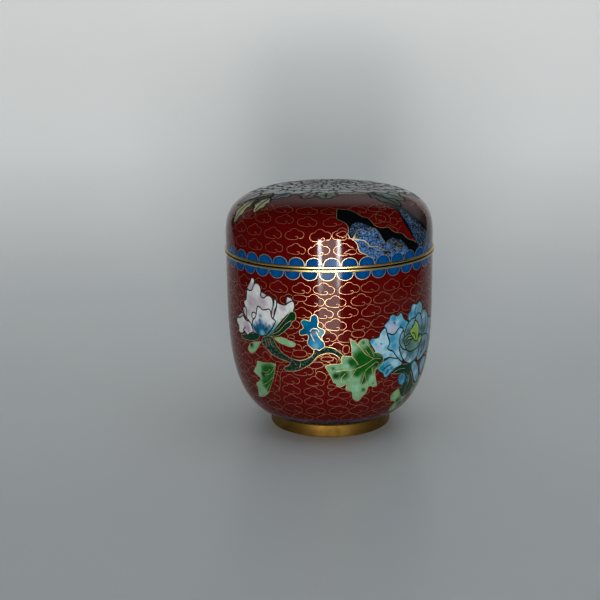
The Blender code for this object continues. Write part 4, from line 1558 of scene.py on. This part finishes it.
def grey_card():
    f = Finish("pale_grey_card")
    # Painted light: the card is paler on the table and cove and darker up the wall, its colour set by height.
    rise = f.ramp(f.parts(f.place)[2], 0.0, 0.12)
    colour = f.mix(rise, (0.76, 0.77, 0.765), (0.67, 0.68, 0.675))
    colour = f.shaded(colour, f.ramp(f.noise(3.0, 4.0), 0.3, 0.7, 0.96, 1.0))
    return f.surface({"Base Color": colour, "Roughness": 0.34, "Specular IOR Level": 0.25})


def soft_glow(stops):
    """Light that changes with height, from (height, strength) stops, and grows a little towards the right."""
    f = Finish("soft_glow")
    across, _, height = f.parts(f.place)
    low, high = stops[0][0], stops[-1][0]
    fade = f.node("ValToRGB", {"Fac": f.ramp(height, low, high)})
    for _ in stops[2:]:
        fade.color_ramp.elements.new(0.5)
    for element, (at, strength) in zip(fade.color_ramp.elements, stops):
        element.position = (at - low) / (high - low)
        element.color = (strength, strength, strength, 1.0)
    return f.glowing(fade.outputs["Color"], f.ramp(across, -0.07, 0.07, 0.76, 1.24))


def backdrop():
    """A pale grey sweep of table top, cove and wall. Only its middle is near enough to show in the gloss."""
    line = [(TABLE_EDGE, 0.0)]
    for k in range(33):
        t = k / 32 * math.pi / 2
        line.append((COVE_START + COVE * math.sin(t), COVE - COVE * math.cos(t)))
    wall = COVE_START + COVE
    line.append((wall, CARD_TOP))
    card = grey_card()
    sheet("backdrop", line, -CARD_MIDDLE, CARD_MIDDLE, card)
    sheet("backdrop_left", line, -CARD_HALF, -CARD_MIDDLE, card, ["glossy"])
    sheet("backdrop_right", line, CARD_MIDDLE, CARD_HALF, card, ["glossy"])
    front = [(TABLE_FRONT, 0.0), (TABLE_EDGE, 0.0)]
    sheet("table_front", front, -CARD_HALF, CARD_HALF, card, ["shadow", "glossy"])
    stops = ((0.12, 0.04), (0.17, 0.09), (0.22, 0.28), (0.28, 0.44), (0.35, 0.48), (0.44, 0.38), (0.56, 0.0))
    line = [(wall - 0.01, at) for at, _ in stops]
    sheet("upper_glow", line, -GLOW_HALF, GLOW_HALF, soft_glow(stops), ["camera", "diffuse", "shadow"])


def surround():
    """Plain pale room walls far behind the table, for looking at the caddy from other sides."""
    count = 64
    points = [(ROOM_RADIUS * math.cos(t), ROOM_RADIUS * math.sin(t), z)
              for z in (ROOM_FOOT, ROOM_TOP) for t in (math.tau * k / count for k in range(count))]
    faces = [(k, (k + 1) % count, count + (k + 1) % count, count + k) for k in range(count)]
    pale = Finish("pale_room").glowing((0.185, 0.205, 0.21, 1), 1.0)
    staged(mesh_of("room_wall", points, faces), pale, ["diffuse", "glossy", "shadow"])


def panel(name, place, width, height, power, colour=(1.0, 1.0, 1.0), target=None, mirrored=False):
    """A soft rectangular light, aimed straight along y unless it has a target.

    One that is mirrored shows in the gloss, and the others light the surfaces.
    """
    data = bpy.data.lights.new(name, "AREA")
    data.shape = "RECTANGLE"
    data.size = width
    data.size_y = height
    data.energy = power
    data.color = colour
    light = object_of(name, data)
    light.location = place
    aim = Vector(target or (place[0], 0.0, place[2])) - Vector(place)
    light.rotation_euler = aim.to_track_quat("-Z", "Y").to_euler()
    light.visible_glossy = mirrored
    light.visible_diffuse = not mirrored
    light.visible_camera = False
    return light


def back_light():
    """A soft light on the caddy's far side alone, because the wall stands too near for a light behind it."""
    caddy = bpy.data.collections.new("caddy")
    for piece in PIECES:
        caddy.objects.link(piece)
    light = panel("back_fill", (0.0, 1.4, 0.12), 1.0, 0.5, 10.0, (1.0, 0.99, 0.97), target=(0.0, 0.0, 0.05))
    light.light_linking.receiver_collection = caddy
    light.light_linking.blocker_collection = caddy


def lights():
    """The window and its two strips show in the gloss. The others light the surfaces."""
    for name, x in (("left_strip", -STRIP_ASIDE), ("right_strip", STRIP_ASIDE)):
        panel(name, (x, WINDOW_AWAY, -0.01), 0.19, 1.26, 58.0, mirrored=True)
    panel("window", (0.0, WINDOW_AWAY - 0.02, -0.2), 1.22, 1.68, 58.0, (1.0, 0.96, 0.88), mirrored=True)
    panel("key", (0.0, WINDOW_AWAY - 0.04, -0.12), 1.8, 0.8, 68.0, (0.98, 0.985, 0.98))
    panel("low_key", (0.0, WINDOW_AWAY - 0.04, -0.36), 0.42, 0.36, 18.0, (1.0, 0.92, 0.82))
    panel("fill", (0.0, -1.6, 0.5), 0.8, 0.4, 4.6, (0.96, 0.98, 1.0), target=(0.0, 0.0, 0.0))
    panel("sky", (0.25, -0.2, 1.6), 2.2, 1.6, 6.8, (0.80, 0.92, 1.0), target=(0.25, 0.05, 0.0))
    world = bpy.data.worlds.new("room")
    world.use_nodes = True
    air = world.node_tree.nodes["Background"].inputs
    air["Color"].default_value = (0.9, 0.95, 1.0, 1)
    air["Strength"].default_value = 0.04
    bpy.context.scene.world = world
    bpy.context.scene.view_settings.view_transform = "Standard"


# ---------------------------------------------------------------- making the caddy

WIREWORK = wirework()
TURNING = turning()
ENAMEL = cloisonne_enamel()
LINING = counter_enamel()
RIM_GILT = turned_gilt("rim_gilt_brass", tone(228, 206, 138), tone(190, 156, 86), 0.24, 0.40)
FOOT_GILT = turned_gilt("foot_gilt_brass", tone(138, 106, 48), tone(100, 74, 26), 0.48, 0.60)
GILT_WIRE = flat_wire("gilt_wire", tone(208, 188, 140), tone(160, 136, 98), 0.33, 0.9)
COPPER_WIRE = flat_wire("copper_wire", tone(206, 154, 116), tone(150, 102, 74), 0.32, 0.88)
AGED_WIRE = flat_wire("aged_wire", tone(38, 36, 25), tone(13, 16, 12), 0.50, 0.0, sheen=0.03)


def cloud_set(rows, first, spacing, pitch, phase):
    return {"Rows": rows, "First Row": first * MM, "Row Spacing": spacing * MM, "Cloud Pitch": pitch * MM,
            "Phase": phase}


def make_vessel():
    d = vessel_drawing()
    wall = d.wall
    base = VESSEL_BASE + BASE_DISH
    floor = base + ENAMEL_AND_COPPER
    back = [(r, z) for r, z in wall.inset(ENAMEL_AND_COPPER, BACK_STEPS) if z > floor]
    back += [(back[-1][0] * 0.5, floor), (0.0, floor)]
    dish = [(wall.radius[-1] * q, VESSEL_BASE + BASE_DISH * (1 - q**2)) for q in (0.93, 0.7, 0.4)]
    backs = [(wall.start, back, False), (wall.end, [*dish, (0.0, base)], True)]
    clouds = cloud_set(14, first=5.9, spacing=4.35, pitch=8.5, phase=0.3)
    enamelled("vessel_enamel", "vessel_body", d, vessel_ground, backs, clouds, DARK_WIRE)
    lining = vessel_lining_section(wall)
    turned_piece("vessel_lining", lining, LINING, segments=LINING_SEGMENTS)


def make_lid():
    d = lid_drawing()
    wall = d.wall
    backs = [(wall.start, closed_inset(wall, ENAMEL_AND_COPPER, BACK_STEPS), True)]
    clouds = cloud_set(4, first=6.0, spacing=5.1, pitch=8.6, phase=0.1)
    enamelled("lid_enamel", "lid_dome", d, lid_ground, backs, clouds, TOP_WIRE)
    lining = lid_lining_section(wall)
    turned_piece("lid_lining", lining, LINING, segments=LINING_SEGMENTS)


make_vessel()
make_lid()
turned_piece("mouth_edge", mouth_rim_section(), RIM_GILT, "mouth_rim")
turned_piece("lid_edge", lid_rim_section(), RIM_GILT, "lid_rim")
turned_piece("foot", foot_section(), FOOT_GILT, "foot_ring")
backdrop()
surround()
lights()
back_light()
camera()
